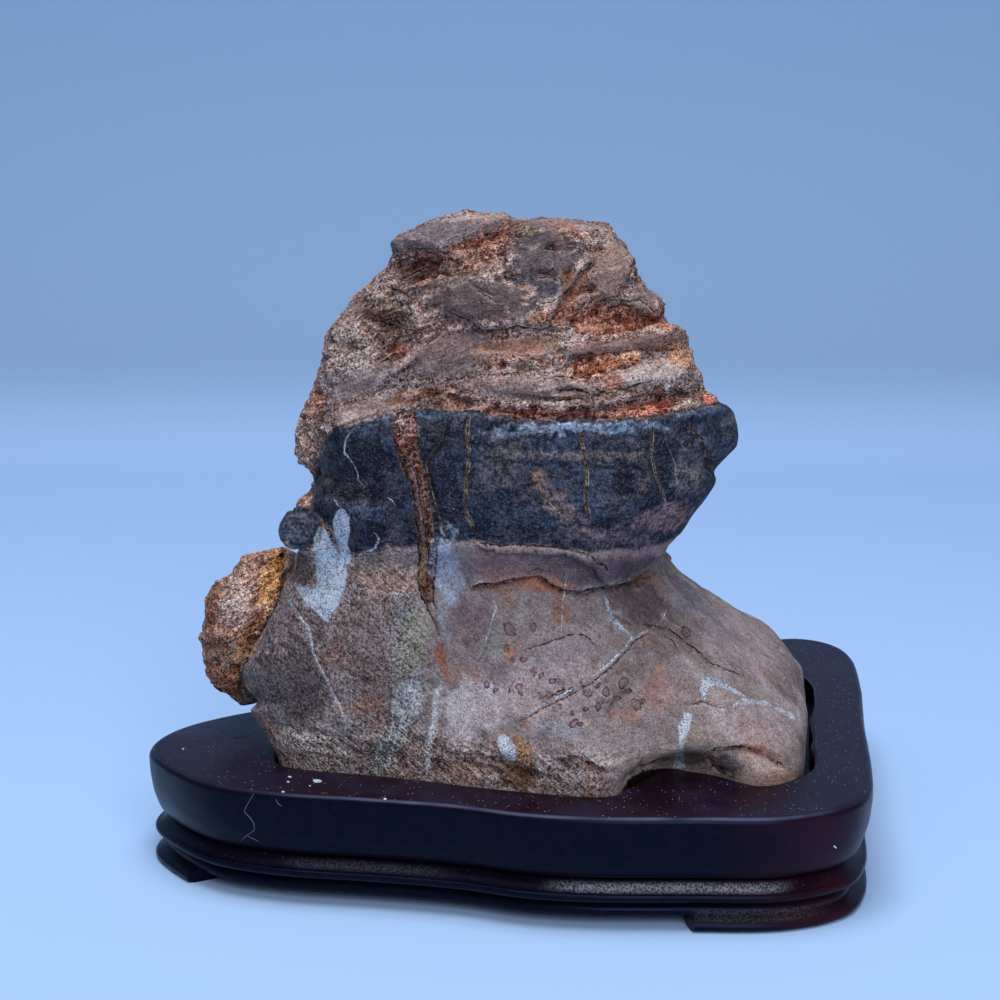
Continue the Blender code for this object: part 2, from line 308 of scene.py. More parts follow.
def softbox(name, place, aim, side, watts):
    """A square lamp in the display frame, side in millimetres."""
    data = bpy.data.lights.new(name, "AREA")
    data.shape = "SQUARE"
    data.size = side * MM
    data.energy = watts
    data.color = LIGHT_TINT
    lamp = placed(name, data)
    lamp.location = TO_MODEL @ Vector(place)
    lamp.rotation_euler = (TO_MODEL @ Vector(aim) - lamp.location).to_track_quat("-Z", "Y").to_euler()
    return lamp


softbox("overhead_softbox", (-60, -160, 900), (0, 0, 60), 560, 6.6)
softbox("front_softbox", (150, -800, 520), (0, 0, 50), 420, 4.2)

world = bpy.data.worlds.new("pale_sky")
world.use_nodes = True
world.node_tree.nodes["Background"].inputs["Color"].default_value = (0.70, 0.80, 1.0, 1.0)
world.node_tree.nodes["Background"].inputs["Strength"].default_value = 0.25
bpy.context.scene.world = world
bpy.context.scene.view_settings.view_transform = "Standard"

# %% [markdown]
# Natural stone and hand-rubbed lacquer are never quite even, so we need a source of unevenness that we can
# use on mesh points. Blender's noise textures only work in materials, and its noise functions take one point
# at a time. A small lattice noise in numpy does a hundred thousand points at once, the same way each run.

# %% Unevenness for mesh points
draw = np.random.default_rng(749)
LATTICE = draw.permutation(256)
SLOPES = draw.normal(size=(256, 3))
SLOPES /= np.linalg.norm(SLOPES, axis=1, keepdims=True)


def lattice_slope(cell):
    """A direction for each cell of the lattice, always the same for the same cell."""
    key = cell & 255
    pick = LATTICE[(LATTICE[key[:, 0]] + key[:, 1]) & 255]
    return SLOPES[LATTICE[(pick + key[:, 2]) & 255]]


def swell(points, size, seed=0):
    """Smooth rises and hollows from about -1 to 1. Size is their width, or one width for each axis."""
    place = points / np.array(size) + 17.3 * seed
    cell = np.floor(place).astype(int)
    inside = place - cell
    ease = inside ** 3 * (inside * (inside * 6 - 15) + 10)
    total = np.zeros(len(points))
    for corner in np.ndindex(2, 2, 2):
        weight = np.prod(np.where(np.array(corner) == 1, ease, 1 - ease), axis=1)
        total += weight * np.sum(lattice_slope(cell + np.array(corner)) * (inside - corner), axis=1)
    return 1.6 * total


def rough(points, size, octaves=3, seed=0):
    """Swells with smaller swells on them, each half as wide and half as high."""
    return sum(swell(points, np.array(size) / 2 ** k, seed + k) / 2 ** k for k in range(octaves))


def smooth_step(value, low, high):
    """0 where the value is below low, 1 above high, and smooth in between."""
    share = np.clip((value - low) / (high - low), 0, 1)
    return share * share * (3 - 2 * share)


sample = swell(draw.uniform(-50, 50, (20000, 3)), 7.0)
print("unevenness from", sample.min().round(2), "to", sample.max().round(2))

# %% [markdown]
# The stand is two boards, shaped along one outline: the seat board above, with a full, rounded side, and the
# plinth below, with a cove, a bead and three feet. Each board is lofted: the outline is repeated at every
# height of an edge profile, moved in by the profile's depth, and the rings are joined by faces. The solid
# model's boards are the same but coarser, so we cut them again with 16 points to each span.

# %% Rings of an edge profile
OUTLINE_STEPS = 16
BOARD_PROFILE = [
    (3.2, 8.7), (2.0, 9.3), (1.2, 10.8), (0.5, 13.2), (0.1, 16.0), (0.0, 18.6), (0.12, 19.3), (0.5, 19.82),
    (1.1, 20.0),
]
PLINTH_PROFILE = [
    (3.2, 2.2), (2.8, 2.5), (2.9, 3.4), (3.7, 4.4), (3.1, 4.9), (1.3, 5.1), (0.7, 5.7), (0.9, 6.4),
    (1.7, 6.7), (3.3, 8.0), (4.2, 8.4),
]
FOOT_PROFILE = [(1.9, 0.0), (0.9, 0.4), (0.6, 1.1), (1.1, 1.7), (3.0, 2.6), (3.6, 3.4)]
HAND_WOBBLE = 0.14


def open_curve(points, steps):
    """A smooth curve through points, from the first to the last."""
    points = np.array(points, float)
    closed = closed_curve(np.concatenate([points, points[::-1]]), steps)
    return closed[: steps * (len(points) - 1) + 1]


def inset(ring, distance):
    """An anticlockwise ring moved inwards."""
    along = np.roll(ring, -1, axis=0) - np.roll(ring, 1, axis=0)
    along /= np.linalg.norm(along, axis=1, keepdims=True)
    return ring + np.reshape(distance, (-1, 1)) * np.stack([-along[:, 1], along[:, 0]], axis=1)


def at_height(ring, height):
    return np.column_stack([ring, np.full(len(ring), height)])


def moulded_rings(profile, steps, seed):
    """The stand's outline at each height of a profile, a little uneven, as a hand leaves it."""
    outline = closed_curve(STAND_OUTLINE, OUTLINE_STEPS)
    rings = []
    for depth, height in open_curve(profile, steps):
        wobble = HAND_WOBBLE * swell(at_height(outline, 1.5 * height), (17, 17, 6), seed)
        rings.append(at_height(inset(outline, depth + np.abs(wobble)), height))
    return rings


def loft(shape, rings, cap_first=True, cap_last=True):
    """Skins stacked rings of equal counts, and returns their loops of mesh points."""
    loops = [[shape.verts.new(point) for point in ring] for ring in rings]
    for lower, upper in zip(loops, loops[1:]):
        for index, corner in enumerate(lower):
            after = (index + 1) % len(lower)
            shape.faces.new((corner, lower[after], upper[after], upper[index]))
    if cap_first:
        shape.faces.new(loops[0][::-1])
    if cap_last:
        shape.faces.new(loops[-1])
    return loops


board_rings = moulded_rings(BOARD_PROFILE, 4, seed=1)
print("seat board:", len(board_rings), "rings of", len(board_rings[0]), "points")

# %% [markdown]
# The seat is routed to the stone's foot with a little clearance, and the router has bitten too deep at four
# places on the right, where black gaps show beside the stone. The top face has a hole then, so it is filled
# as triangles between two loops. A second loop close to each edge keeps the top's shading flat up to the rim.

# %% The seat board
STONE_FOOT = [
    (-38.4, -14.5), (-36.6, -24.0), (-19.0, -29.4), (0.0, -36.0), (16.6, -39.7), (21.4, -34.6),
    (28.0, -26.0), (36.5, -28.4), (44.0, -34.2), (51.4, -28.0), (54.8, -11.0), (57.4, 10.0),
    (58.4, 31.0), (51.6, 42.0), (36.0, 33.0), (10.0, 20.4), (-16.0, 8.6), (-33.4, -0.6),
]
# Place along the foot and half width, counted in its points, and depth in mm
SEAT_BITES = [(9.4, 0.55, 1.2), (10.2, 0.35, 0.6), (11.6, 0.95, 1.7), (15.0, 0.8, 1.2)]
SEAT_CLEARANCE = 0.5
SEAT_FLOOR = 15.3
STAND_TOP = 20.0
SEAT_STEPS = 12
RIM_SUPPORT = 0.5


def block(name, shape):
    """Turns a finished bmesh into an object, still in the display frame, whose faces look outwards."""
    bmesh.ops.recalc_face_normals(shape, faces=shape.faces)
    mesh = bpy.data.meshes.new(name)
    shape.to_mesh(mesh)
    shape.free()
    return placed(name, mesh)


def seat_outline():
    foot = closed_curve(STONE_FOOT, SEAT_STEPS)
    place = np.arange(len(foot)) / SEAT_STEPS
    bites = [depth * np.clip(1 - ((place - middle) / half) ** 2, 0, None)
             for middle, half, depth in SEAT_BITES]
    wobble = 0.15 * swell(at_height(foot, 0.0), 6.0, seed=4)
    return inset(foot, -(SEAT_CLEARANCE + np.max(bites, axis=0) + wobble))


shape = bmesh.new()
outer_edge = inset(board_rings[-1][:, :2], RIM_SUPPORT)
outer = loft(shape, board_rings + [at_height(outer_edge, STAND_TOP)], cap_last=False)
seat = seat_outline()
seat_rings = [at_height(inset(seat, -out), height) for out, height in
              ((0.0, SEAT_FLOOR), (0.0, 19.5), (0.1, 19.85), (0.35, STAND_TOP), (0.8, STAND_TOP))]
inner = loft(shape, seat_rings, cap_last=False)
rims = [shape.edges.get((loop[i - 1], loop[i])) for loop in (outer[-1], inner[-1]) for i in range(len(loop))]
bmesh.ops.triangle_fill(shape, use_beauty=True, edges=rims, normal=(0, 0, 1))
seat_board = block("seat_board_fine", shape)
print("seat board:", len(seat_board.data.polygons), "faces")

# %% [markdown]
# The feet are carved from the plinth, so they carry the stand's edge down to the table. Each is a crescent: a
# moulded block of the whole outline, kept inside one circle round the corner and cut away by a second circle
# that is shifted towards the middle. Boolean modifiers do that faithfully, so the fine plinth uses them too.
# They leave some points doubled, so a weld merges these at the end.

# %% The plinth and its feet
FEET = {"left": (-62.5, -8.0), "front_right": (52.5, -43.5), "far_right": (68.0, 52.0)}
FOOT_REACH = 22.0
FOOT_HOLLOW = 14.0
FOOT_HOLLOW_SHIFT = 20.0
WELD_GAP = 0.002
display_middle = np.array(Matrix.Rotation(-DISPLAY_TURN, 2) @ Vector(STAND_MIDDLE))


def lofted_block(name, rings):
    """A closed lofted block, for use in a Boolean."""
    shape = bmesh.new()
    loft(shape, rings)
    return block(name, shape)


def disc(middle, radius):
    turn = np.linspace(0, 2 * math.pi, 96, endpoint=False)
    ring = np.array(middle) + radius * np.column_stack([np.cos(turn), np.sin(turn)])
    return [at_height(ring, -3.0), at_height(ring, STAND_TOP)]


def settle(piece):
    """Replaces the object's mesh with what its modifiers make of it."""
    graph = bpy.context.evaluated_depsgraph_get()
    result = bpy.data.meshes.new_from_object(piece.evaluated_get(graph))
    piece.modifiers.clear()
    piece.data = result


def combine(piece, other, operation):
    """Joins or cuts a block with another, which is then removed."""
    modifier = piece.modifiers.new(operation.title(), "BOOLEAN")
    modifier.operation = operation
    modifier.object = other
    settle(piece)
    bpy.data.objects.remove(other)


def weld(piece, gap):
    """Merges the points that a Boolean left closer together than the gap, and the slivers between them."""
    shape = bmesh.new()
    shape.from_mesh(piece.data)
    bmesh.ops.remove_doubles(shape, verts=shape.verts, dist=gap)
    bmesh.ops.triangulate(shape, faces=[face for face in shape.faces if len(face.verts) > 4])
    bmesh.ops.dissolve_degenerate(shape, dist=gap, edges=shape.edges)
    shape.to_mesh(piece.data)
    shape.free()


plinth = lofted_block("plinth_fine", moulded_rings(PLINTH_PROFILE, 3, seed=2))
for corner in FEET.values():
    foot = lofted_block("foot", moulded_rings(FOOT_PROFILE, 3, seed=3))
    inward = (display_middle - corner) / np.linalg.norm(display_middle - corner)
    combine(foot, lofted_block("reach", disc(corner, FOOT_REACH)), "INTERSECT")
    hollow = disc(corner + FOOT_HOLLOW_SHIFT * inward, FOOT_HOLLOW)
    combine(foot, lofted_block("hollow", hollow), "DIFFERENCE")
    combine(plinth, foot, "UNION")
weld(plinth, WELD_GAP)
print("plinth:", len(plinth.data.polygons), "faces")

# %% [markdown]
# A real stand wears where hands touch it. Lacquer rubs thin along the top's rim and shows as a pale line,
# with a painted highlight of the rounded edge on it; in the groove of the moulding it went on dry and
# frosted, with a painted glint on it; dust lies on what faces up, and a bluish painted reflection lies on the
# back left of the top. These places are painted on the mesh as numbers from 0 to 1, from each point's height
# and from where the photograph shows the wear.

# %% Wear and dust, painted on the boards
def mesh_numbers(mesh):
    """The mesh's points and their directions, as tables."""
    points = np.empty(len(mesh.vertices) * 3, np.float32)
    normals = np.empty(len(mesh.vertices) * 3, np.float32)
    mesh.vertices.foreach_get("co", points)
    mesh.vertex_normals.foreach_get("vector", normals)
    return points.reshape(-1, 3).astype(float), normals.reshape(-1, 3).astype(float)


def between(value, start, full, end, gone):
    """0 before the start, 1 from full to end, 0 again once gone."""
    return smooth_step(value, start, full) * (1 - smooth_step(value, end, gone))


def paint_number(mesh, name, values):
    """Stores a number for each point under a name that a material can read."""
    mesh.attributes.new(name, "FLOAT", "POINT").data.foreach_set("value", values.astype(np.float32))


# Pixel columns, or for the painted reflection rows too, between which each kind of wear, and the painted
# reflection, comes and goes
WORN_AND_LIT_RIM = (180, 400, 800, 850)
FROST_RIGHT = (535, 585, 760, 800)
FROST_LEFT = (270, 310, 400, 470)
FROST_FOOT = (688, 700, 790, 850)
RED_COMES = (690, 830)
PAINTED_SHEEN_GOES = (200, 540)
PAINTED_SHEEN_GOES_DOWN = (722, 764)


def paint_wear(piece):
    """Paints rim wear with a painted highlight, frosted lacquer with a painted glint, dust, a red tinge and a
    painted reflection on a board.
    """
    points, _ = mesh_numbers(piece.data)
    across, down = seen_at(points).T
    height = points[:, 2]
    front = smooth_step(-points[:, 1], 10, 20)
    patchy = 0.6 + 0.5 * rough(points, 7.0, 3, 211)
    # The rim's pale line is wear and a painted highlight of the rounded edge
    worn = np.clip(patchy * between(across, *WORN_AND_LIT_RIM), 0.1, 1)
    rim = worn * between(height, 19.5, 19.75, 19.9, 19.99)
    outer = np.hypot(points[:, 0] - 4, points[:, 1] - 2) > 40
    grain_side = between(height, 6.5, 7.0, 7.6, 8.1) * front
    # Frosted lacquer in the moulding's groove and on the feet, with a painted glint on it
    frost_and_glint = grain_side * (between(across, *FROST_RIGHT) + 0.16 * between(across, *FROST_LEFT))
    frost_and_glint += 0.18 * between(height, 1.6, 2.0, 3.0, 3.5) * front * between(across, *FROST_FOOT)
    dust = smooth_step(height, 19.8, 19.97) + 0.25 * between(height, 6.4, 7.2, 8.0, 8.4)
    red = smooth_step(across, *RED_COMES) * front * (1 - smooth_step(height, 19.0, 19.9))
    # A bluish painted reflection of the room, on the back left of the top
    painted_sheen = (1 - smooth_step(across, *PAINTED_SHEEN_GOES)) * (1 - smooth_step(down, *PAINTED_SHEEN_GOES_DOWN))
    for name, share in (("rim_wear_and_highlight", rim * outer), ("frost_and_glint", frost_and_glint), ("dust", dust), ("red_tinge", red),
                        ("painted_sheen", painted_sheen)):
        paint_number(piece.data, name, np.clip(share, 0, 1))
    print(piece.name, "frosted points:", int((frost_and_glint > 0.5).sum()), "worn points:", int((rim > 0.5).sum()))


paint_wear(seat_board)
paint_wear(plinth)

# %% [markdown]
# The lacquer is nearly black, with a red-brown wood showing through where it is thin. Its gloss is what makes
# it readable: the pale room is mirrored, blurred, in the top and along the rounded side. Dust lies on what
# faces up, as a thin bluish film and as hundreds of pale specks, which are small cells of a Voronoi pattern.
# On the back left of the top the film also carries a bluish painted reflection of the room.

# %% Lacquer
lacquer = Finish("dusty_lacquer")
lacquer.shader.inputs["Specular Tint"].default_value = (0.33, 0.49, 0.90, 1.0)
WEAR_AND_PAINTED_LIGHT_NAMES = ("rim_wear_and_highlight", "frost_and_glint", "dust", "red_tinge", "painted_sheen")
rim_wear_and_highlight, frost_and_glint, dust, red_tinge, painted_sheen = (lacquer.painted(name) for name in WEAR_AND_PAINTED_LIGHT_NAMES)
pores = lacquer.noise(1.0, 4, 0.6, lacquer.stretched(5.0, 0.9, 0.9))
brushed = lacquer.noise(9.0, 4, 0.55)
wood = lacquer.mix(lacquer.ramp(pores, 0.35, 0.7), (0.0013, 0.0018, 0.0064), (0.0046, 0.0028, 0.0082))
wood = lacquer.mix(lacquer.times(dust, 0.9), wood, (0.0105, 0.0014, 0.0054))
reddened = lacquer.times(red_tinge, lacquer.ramp(brushed, 0.3, 0.7, 0.3, 0.8))
wood = lacquer.mix(reddened, wood, (0.030, 0.0062, 0.0098))
# The film is dust, and on the back left of the top also a painted reflection of the room
dust_film_and_painted_sheen = lacquer.plus(lacquer.ramp(brushed, 0.35, 0.7, 0.0, 0.09), lacquer.ramp(painted_sheen, 0.5, 1.0, 0.0, 0.14))
dust_film_and_painted_sheen = lacquer.times(dust, dust_film_and_painted_sheen)
wood = lacquer.mix(dust_film_and_painted_sheen, wood, (0.085, 0.108, 0.23))

grain_away, grain_chance = lacquer.cells(0.75)
speck = lacquer.times(lacquer.ramp(grain_away, 0.18, 0.10), lacquer.ramp(grain_chance, 0.66, 0.68),
                      dust, lacquer.ramp(brushed, 0.3, 0.55, 0.3, 0.9))
wood = lacquer.mix(speck, wood, (0.40, 0.36, 0.42))
# The frosted patches are lighter and speckled: dry lacquer with a painted glint of light on it
glint = lacquer.noise(0.36, 2, 0.6)
frosted = lacquer.times(frost_and_glint, lacquer.ramp(glint, 0.40, 0.60, 0.15, 1.0))
wood = lacquer.mix(frosted, wood, (0.27, 0.26, 0.29))
# A pale line on the rim: wear, and a painted highlight of the rounded edge
wood = lacquer.mix(lacquer.times(rim_wear_and_highlight, 0.55), wood, (0.16, 0.16, 0.26))
dull = lacquer.plus(lacquer.ramp(brushed, 0.3, 0.7, 0.30, 0.42), lacquer.times(frost_and_glint, 0.4))
unevenness = lacquer.plus(lacquer.times(pores, 0.25), lacquer.times(glint, frost_and_glint, 2.0))
lacquer.set(Specular_IOR_Level=lacquer.ramp(dust, 0, 1, lacquer.ramp(painted_sheen, 0, 1, 0.15, 0.25), 0.09))
lacquer.set(Base_Color=wood, Roughness=dull, Normal=lacquer.bump(unevenness, 0.12, 0.7))
print("lacquer:", len(lacquer.tree.nodes), "nodes")

# %% [markdown]
# Both boards are done, so they are turned into the model's frame, where each takes the place of its plain
# board. Only edges sharper than 50 degrees stay crisp in the shading. A search tree of the seat board is kept
# in the display frame, for the small things that will lie on it.

# %% Fit the boards on the model
SHARP_ANGLE = math.radians(50)

graph = bpy.context.evaluated_depsgraph_get()
board_tree = bvhtree.BVHTree.FromObject(seat_board, graph)
for piece, node in ((seat_board, "seat_board"), (plinth, "plinth")):
    piece.data.transform(TO_MODEL)
    piece.data.materials.append(lacquer.material)
    piece.data.shade_smooth()
    piece.data.set_sharp_from_angle(angle=SHARP_ANGLE)
    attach(piece, "root")
    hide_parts(node)
    print(piece.name, "takes the place of", node)

# %% [markdown]
# Small things tell that a stand has been lived with: white flecks near the stone, a thread of lint caught on
# the side, a hair of a crack in the top, a nick and a chip on the rim. Each is real geometry. A ray from the
# camera through the pixel where the photograph shows it finds its place on the board.

# %% Flecks, lint, chips and a hairline crack
LINT_PIXELS = [
    (254, 794), (249, 802), (245, 811), (250, 817), (254, 823), (254, 830), (247, 835), (241, 841),
    (237, 846),
]
LINT_BRANCH_PIXELS = [(247, 835), (253, 838), (259, 841)]
FIBRE_PIXELS = [(276, 799), (278, 803), (282, 806)]
CRACK_PIXELS = [
    (214, 727), (220, 731), (226, 734), (233, 738), (240, 737), (247, 737), (252, 734), (258, 731),
]
# Pixel, width and length in mm
FLECKS = {
    "fleck_upper": ((290, 777), 0.5, 0.8), "fleck_middle": ((288, 782), 0.4, 0.7),
    "fleck_large": ((317, 781), 1.3, 1.7), "fleck_lower": ((283, 792), 0.5, 0.6),
    "fleck_far": ((290, 766), 0.4, 0.5), "fleck_left": ((183, 749), 0.35, 0.45),
    "nick_right": ((835, 847), 0.3, 0.9), "rim_chip": ((385, 799), 0.5, 0.6),
    "fleck_small": ((310, 786), 0.35, 0.4),
}
paper_scrap = Finish("white_fleck", Base_Color=(0.52, 0.60, 0.66), Roughness=0.8)
paper_scrap.set(Base_Color=paper_scrap.mix(paper_scrap.ramp(paper_scrap.noise(0.3), 0.35, 0.6),
                                           (0.30, 0.34, 0.40), (0.62, 0.68, 0.74)))
lint_finish = Finish("lint", Roughness=0.9)
lint_finish.set(Base_Color=lint_finish.mix(lint_finish.noise(0.8), (0.06, 0.07, 0.10), (0.16, 0.18, 0.23)))
crack_finish = Finish("open_crack", Roughness=0.9)
crack_finish.set(Base_Color=crack_finish.mix(crack_finish.noise(0.5), (0.002, 0.001, 0.001),
                                             (0.012, 0.006, 0.006)))


def thread(name, pixels, radius, lift, material):
    """A fine tube that lies on the board along a line of pixels."""
    touched = [hit for hit in (touch(pixel, board_tree) for pixel in pixels) if hit[0]]
    course = open_curve([place + lift * normal for place, normal in touched], 5)
    along = np.gradient(course, axis=0)
    along /= np.linalg.norm(along, axis=1, keepdims=True)
    side = np.cross(along, touched[0][1])
    side /= np.linalg.norm(side, axis=1, keepdims=True)
    over = np.cross(side, along)
    taper = np.sin(np.linspace(0.15, math.pi - 0.15, len(course)))[:, None] ** 0.4
    corners = 6
    points = [course + radius * taper * (math.cos(a) * side + math.sin(a) * over)
              for a in np.linspace(0, 2 * math.pi, corners, endpoint=False)]
    points = np.stack(points, axis=1).reshape(-1, 3)
    faces = [(i * corners + j, i * corners + (j + 1) % corners, (i + 1) * corners + (j + 1) % corners,
              (i + 1) * corners + j) for i in range(len(course) - 1) for j in range(corners)]
    faces += [tuple(range(corners))[::-1], tuple(range(len(points) - corners, len(points)))]
    return mesh_piece(name, points, faces, material)


def flake(name, pixel, width, length, seed):
    """A thin, ragged flake that lies on the board where a pixel shows it."""
    place, normal = touch(pixel, board_tree)
    across = normal.orthogonal().normalized()
    along = normal.cross(across)
    turn = np.linspace(0, 2 * math.pi, 14, endpoint=False) + 0.7 * seed
    ring = np.column_stack([np.cos(turn), np.sin(turn), np.full(14, float(seed))])
    reach = 1 + 0.35 * swell(ring * 2, 1.0, seed)
    flat = [(0.5 * width * float(r) * math.cos(a), 0.5 * length * float(r) * math.sin(a))
            for r, a in zip(reach, turn)]
    layers = [[place + x * k * across + y * k * along + h * normal for x, y in flat]
              for k, h in ((1.0, -0.02), (0.95, 0.06), (0.6, 0.12))]
    points = [tuple(point) for layer in layers for point in layer]
    faces = [(14 * k + i, 14 * k + (i + 1) % 14, 14 * (k + 1) + (i + 1) % 14, 14 * (k + 1) + i)
             for k in range(2) for i in range(14)]
    faces += [tuple(range(14))[::-1], tuple(range(28, 42))]
    return mesh_piece(name, points, faces, paper_scrap.material, smooth=False)


small_pieces = [flake(name, *values, seed) for seed, (name, values) in enumerate(FLECKS.items())]
small_pieces += [
    thread("lint_thread", LINT_PIXELS, 0.07, 0.12, lint_finish.material),
    thread("lint_branch", LINT_BRANCH_PIXELS, 0.06, 0.12, lint_finish.material),
    thread("lint_fibre", FIBRE_PIXELS, 0.06, 0.1, lint_finish.material),
    thread("hairline_crack", CRACK_PIXELS, 0.1, -0.05, crack_finish.material),
]
for piece in small_pieces:
    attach(piece, "root")
print("small pieces on the board:", len(small_pieces))

# %% [markdown]
# Now the rock, which is most of the picture. The solid model gives its mass, in flat facets of about three
# millimetres. We copy that mesh, rebuild it from half-millimetre voxels and smooth the facets away: what is
# left is a calm, closed body with enough points to carve. Everything else is then carved in code.

# %% A fine, calm body for the rock
ROCK_VOXEL = 0.46
ROCK_SMOOTHING = 22

rock_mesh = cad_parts["stone"].data.copy()
rock_mesh.transform(FROM_MODEL)
rock = placed("stone_carved", rock_mesh)
remesh = rock.modifiers.new("Voxels", "REMESH")
remesh.mode = "VOXEL"
remesh.voxel_size = ROCK_VOXEL
smooth = rock.modifiers.new("Calm", "SMOOTH")
smooth.iterations = ROCK_SMOOTHING
settle(rock)
points, normals = mesh_numbers(rock.data)
print("calm rock:", len(points), "points")

# %% [markdown]
# The rock's outline against the paper is what the eye checks first. The calm body is right to a millimetre or
# two. We trace the left and right edge from the photograph, measure the body's own edges row by row, and
# stretch each row to fit. Rows are pixel rows here, and the stretch is blurred, so no step shows.

# %% Fit the outline
LEFT_EDGE = [
    (429, 216), (394, 247), (385, 266), (348, 301), (333, 322), (323, 337), (320, 362), (306, 399),
    (297, 421), (294, 454), (303, 467), (312, 475), (307, 495), (290, 507), (278, 528), (284, 545),
    (262, 547), (244, 554), (234, 566), (211, 584), (204, 599), (203, 622), (198, 637), (202, 648),
    (203, 673), (215, 689), (236, 702), (253, 714), (263, 733), (271, 747), (280, 760),
]
RIGHT_EDGE = [
    (600, 216), (616, 230), (622, 244), (633, 266), (648, 290), (664, 301), (667, 320), (686, 335),
    (690, 350), (701, 370), (704, 381), (710, 395), (734, 408), (739, 431), (739, 446), (717, 467),
    (716, 483), (704, 501), (692, 516), (681, 534), (667, 551), (686, 575), (708, 590), (728, 600),
    (744, 611), (764, 621), (779, 636), (792, 653), (802, 668), (806, 693), (807, 714), (808, 726),
]
EDGE_ROW = 4
EDGE_ROWS = np.arange(200, 800, EDGE_ROW)
FARTHEST_SHIFT = 14


def outline_of(where, side):
    """The outermost pixel of the mesh in each band of rows, on one side."""
    index = ((where[:, 1] - EDGE_ROWS[0]) / EDGE_ROW).astype(int)
    edge = np.full(len(EDGE_ROWS), -np.inf)
    np.maximum.at(edge, np.clip(index, 0, len(edge) - 1), side * where[:, 0])
    known = edge > -np.inf
    return EDGE_ROWS[known] + EDGE_ROW / 2, side * edge[known]


def fit_outline(points):
    """Stretches each row of the mesh so that its edges come to the traced ones."""
    where = seen_at(points)
    moved = points.copy()
    left_rows, left = outline_of(where, -1)
    right_rows, right = outline_of(where, 1)
    row = where[:, 1]
    shares = {}
    for name, traced, rows, edge in (("left", LEFT_EDGE, left_rows, left),
                                     ("right", RIGHT_EDGE, right_rows, right)):
        traced = np.array(traced, float)
        error = np.interp(rows, traced[:, 1], traced[:, 0]) - edge
        error[(rows < traced[0, 1]) | (rows > traced[-1, 1])] = 0
        shares[name] = np.interp(row, rows, np.convolve(np.pad(error, 1, "edge"), (0.25, 0.5, 0.25), "valid"))
    low, high = np.interp(row, left_rows, left), np.interp(row, right_rows, right)
    place = np.clip((where[:, 0] - low) / (high - low), 0, 1)
    shift = shares["left"] * (1 - place) ** 1.5 + shares["right"] * place ** 1.5
    depth = (points - np.array(CAMERA_PLACE)) @ view_ahead
    moved[:, 0] += np.clip(shift, -FARTHEST_SHIFT, FARTHEST_SHIFT) * depth / PIXELS_PER_RADIAN
    return moved, np.abs(shift)


points, change = fit_outline(points)
print("rows were stretched by up to", change.max().round(1), "pixels, mean", change.mean().round(1))

# %% [markdown]
# The rest of the carving follows lines that we trace, in pixels: cracks, the edges of broken layers,
# mineral veins and the borders of the dark band. For each point of the rock, stroke gives the distance to
# such a line in millimetres, on which side of it the point lies, and how near the line's end it is. A border
# that closes is measured by inside, positive within.

# %% Distances to traced lines
PIXELS_PER_MM = 5.8


def stroke(line, where):
    """Distance to an open line in mm, side (1 below or right of its course, else -1), and end taper."""
    line = np.array(line, float)
    lengths = np.hypot(*np.diff(line, axis=0).T)
    starts = np.concatenate([[0], np.cumsum(lengths)])
    best = np.full(len(where), 1e9)
    side = np.ones(len(where))
    reached = np.zeros(len(where))
    for start, end, length, begun in zip(line, line[1:], lengths, starts):
        along = end - start
        share = np.clip((where - start) @ along / length ** 2, 0, 1)
        away = where - start - share[:, None] * along
        gap = np.hypot(away[:, 0], away[:, 1])
        closer = gap < best
        best = np.where(closer, gap, best)
        side = np.where(closer, np.sign(along[0] * away[:, 1] - along[1] * away[:, 0]), side)
        reached = np.where(closer, begun + share * length, reached)
    taper = np.clip(np.minimum(reached, starts[-1] - reached) / 12, 0, 1)
    return best / PIXELS_PER_MM, side, taper


def inside(border, where):
    """Distance to a closed border in mm, positive inside it."""
    border = np.array(border, float)
    closed = np.concatenate([border, border[:1]])
    gap, _, _ = stroke(closed, where)
    within = np.zeros(len(where), bool)
    for (x0, y0), (x1, y1) in zip(closed, closed[1:]):
        if y0 != y1:
            crossing = (where[:, 1] < y0) != (where[:, 1] < y1)
            within ^= crossing & (where[:, 0] < x0 + (where[:, 1] - y0) * (x1 - x0) / (y1 - y0))
    return np.where(within, gap, -gap)


print("a point 58 pixels off a line is", stroke([(0, 0), (100, 0)], np.array([(50.0, 58.0)]))[0], "mm away")

# %% [markdown]
# The rock has a rough cap, a dark band and a worn body. Their borders run on through the rock, as real layers
# do, so the same zones come out on the back. The smaller patches and all finer lines are kept to the front.

# %% Borders of the rock's zones
BAND = [
    (327, 435), (336, 428), (348, 424), (362, 420), (380, 413), (400, 410), (425, 409), (471, 412),
    (500, 414), (524, 418), (582, 420), (639, 418), (665, 415), (689, 410), (716, 404), (734, 400),
    (752, 431), (746, 452), (721, 470), (722, 485), (704, 503), (692, 518), (681, 534), (664, 543),
    (640, 549), (620, 550), (600, 550), (590, 553), (575, 549), (550, 545), (524, 544), (500, 545),
    (475, 541), (455, 541), (440, 545), (417, 546), (400, 547), (380, 550), (350, 553), (343, 545),
    (335, 533), (325, 520), (318, 515), (313, 510), (315, 485), (320, 460),
]
BAND_TOP = [
    (250, 440), (327, 435), (348, 424), (380, 413), (425, 409), (524, 418), (639, 418), (689, 410),
    (734, 400), (800, 398),
]
SEAM = [
    (484, 409), (505, 409), (540, 411), (570, 413), (590, 411), (605, 406), (640, 402), (668, 397),
    (675, 404), (673, 412), (640, 418), (582, 421), (524, 420), (484, 415),
]
ORANGE_LOBE = [
    (283, 540), (284, 572), (281, 593), (275, 607), (262, 629), (249, 651), (240, 678), (244, 712),
    (150, 712), (150, 520), (283, 520),
]
KNOB = (299, 528)
KNOB_RADIUS = 22
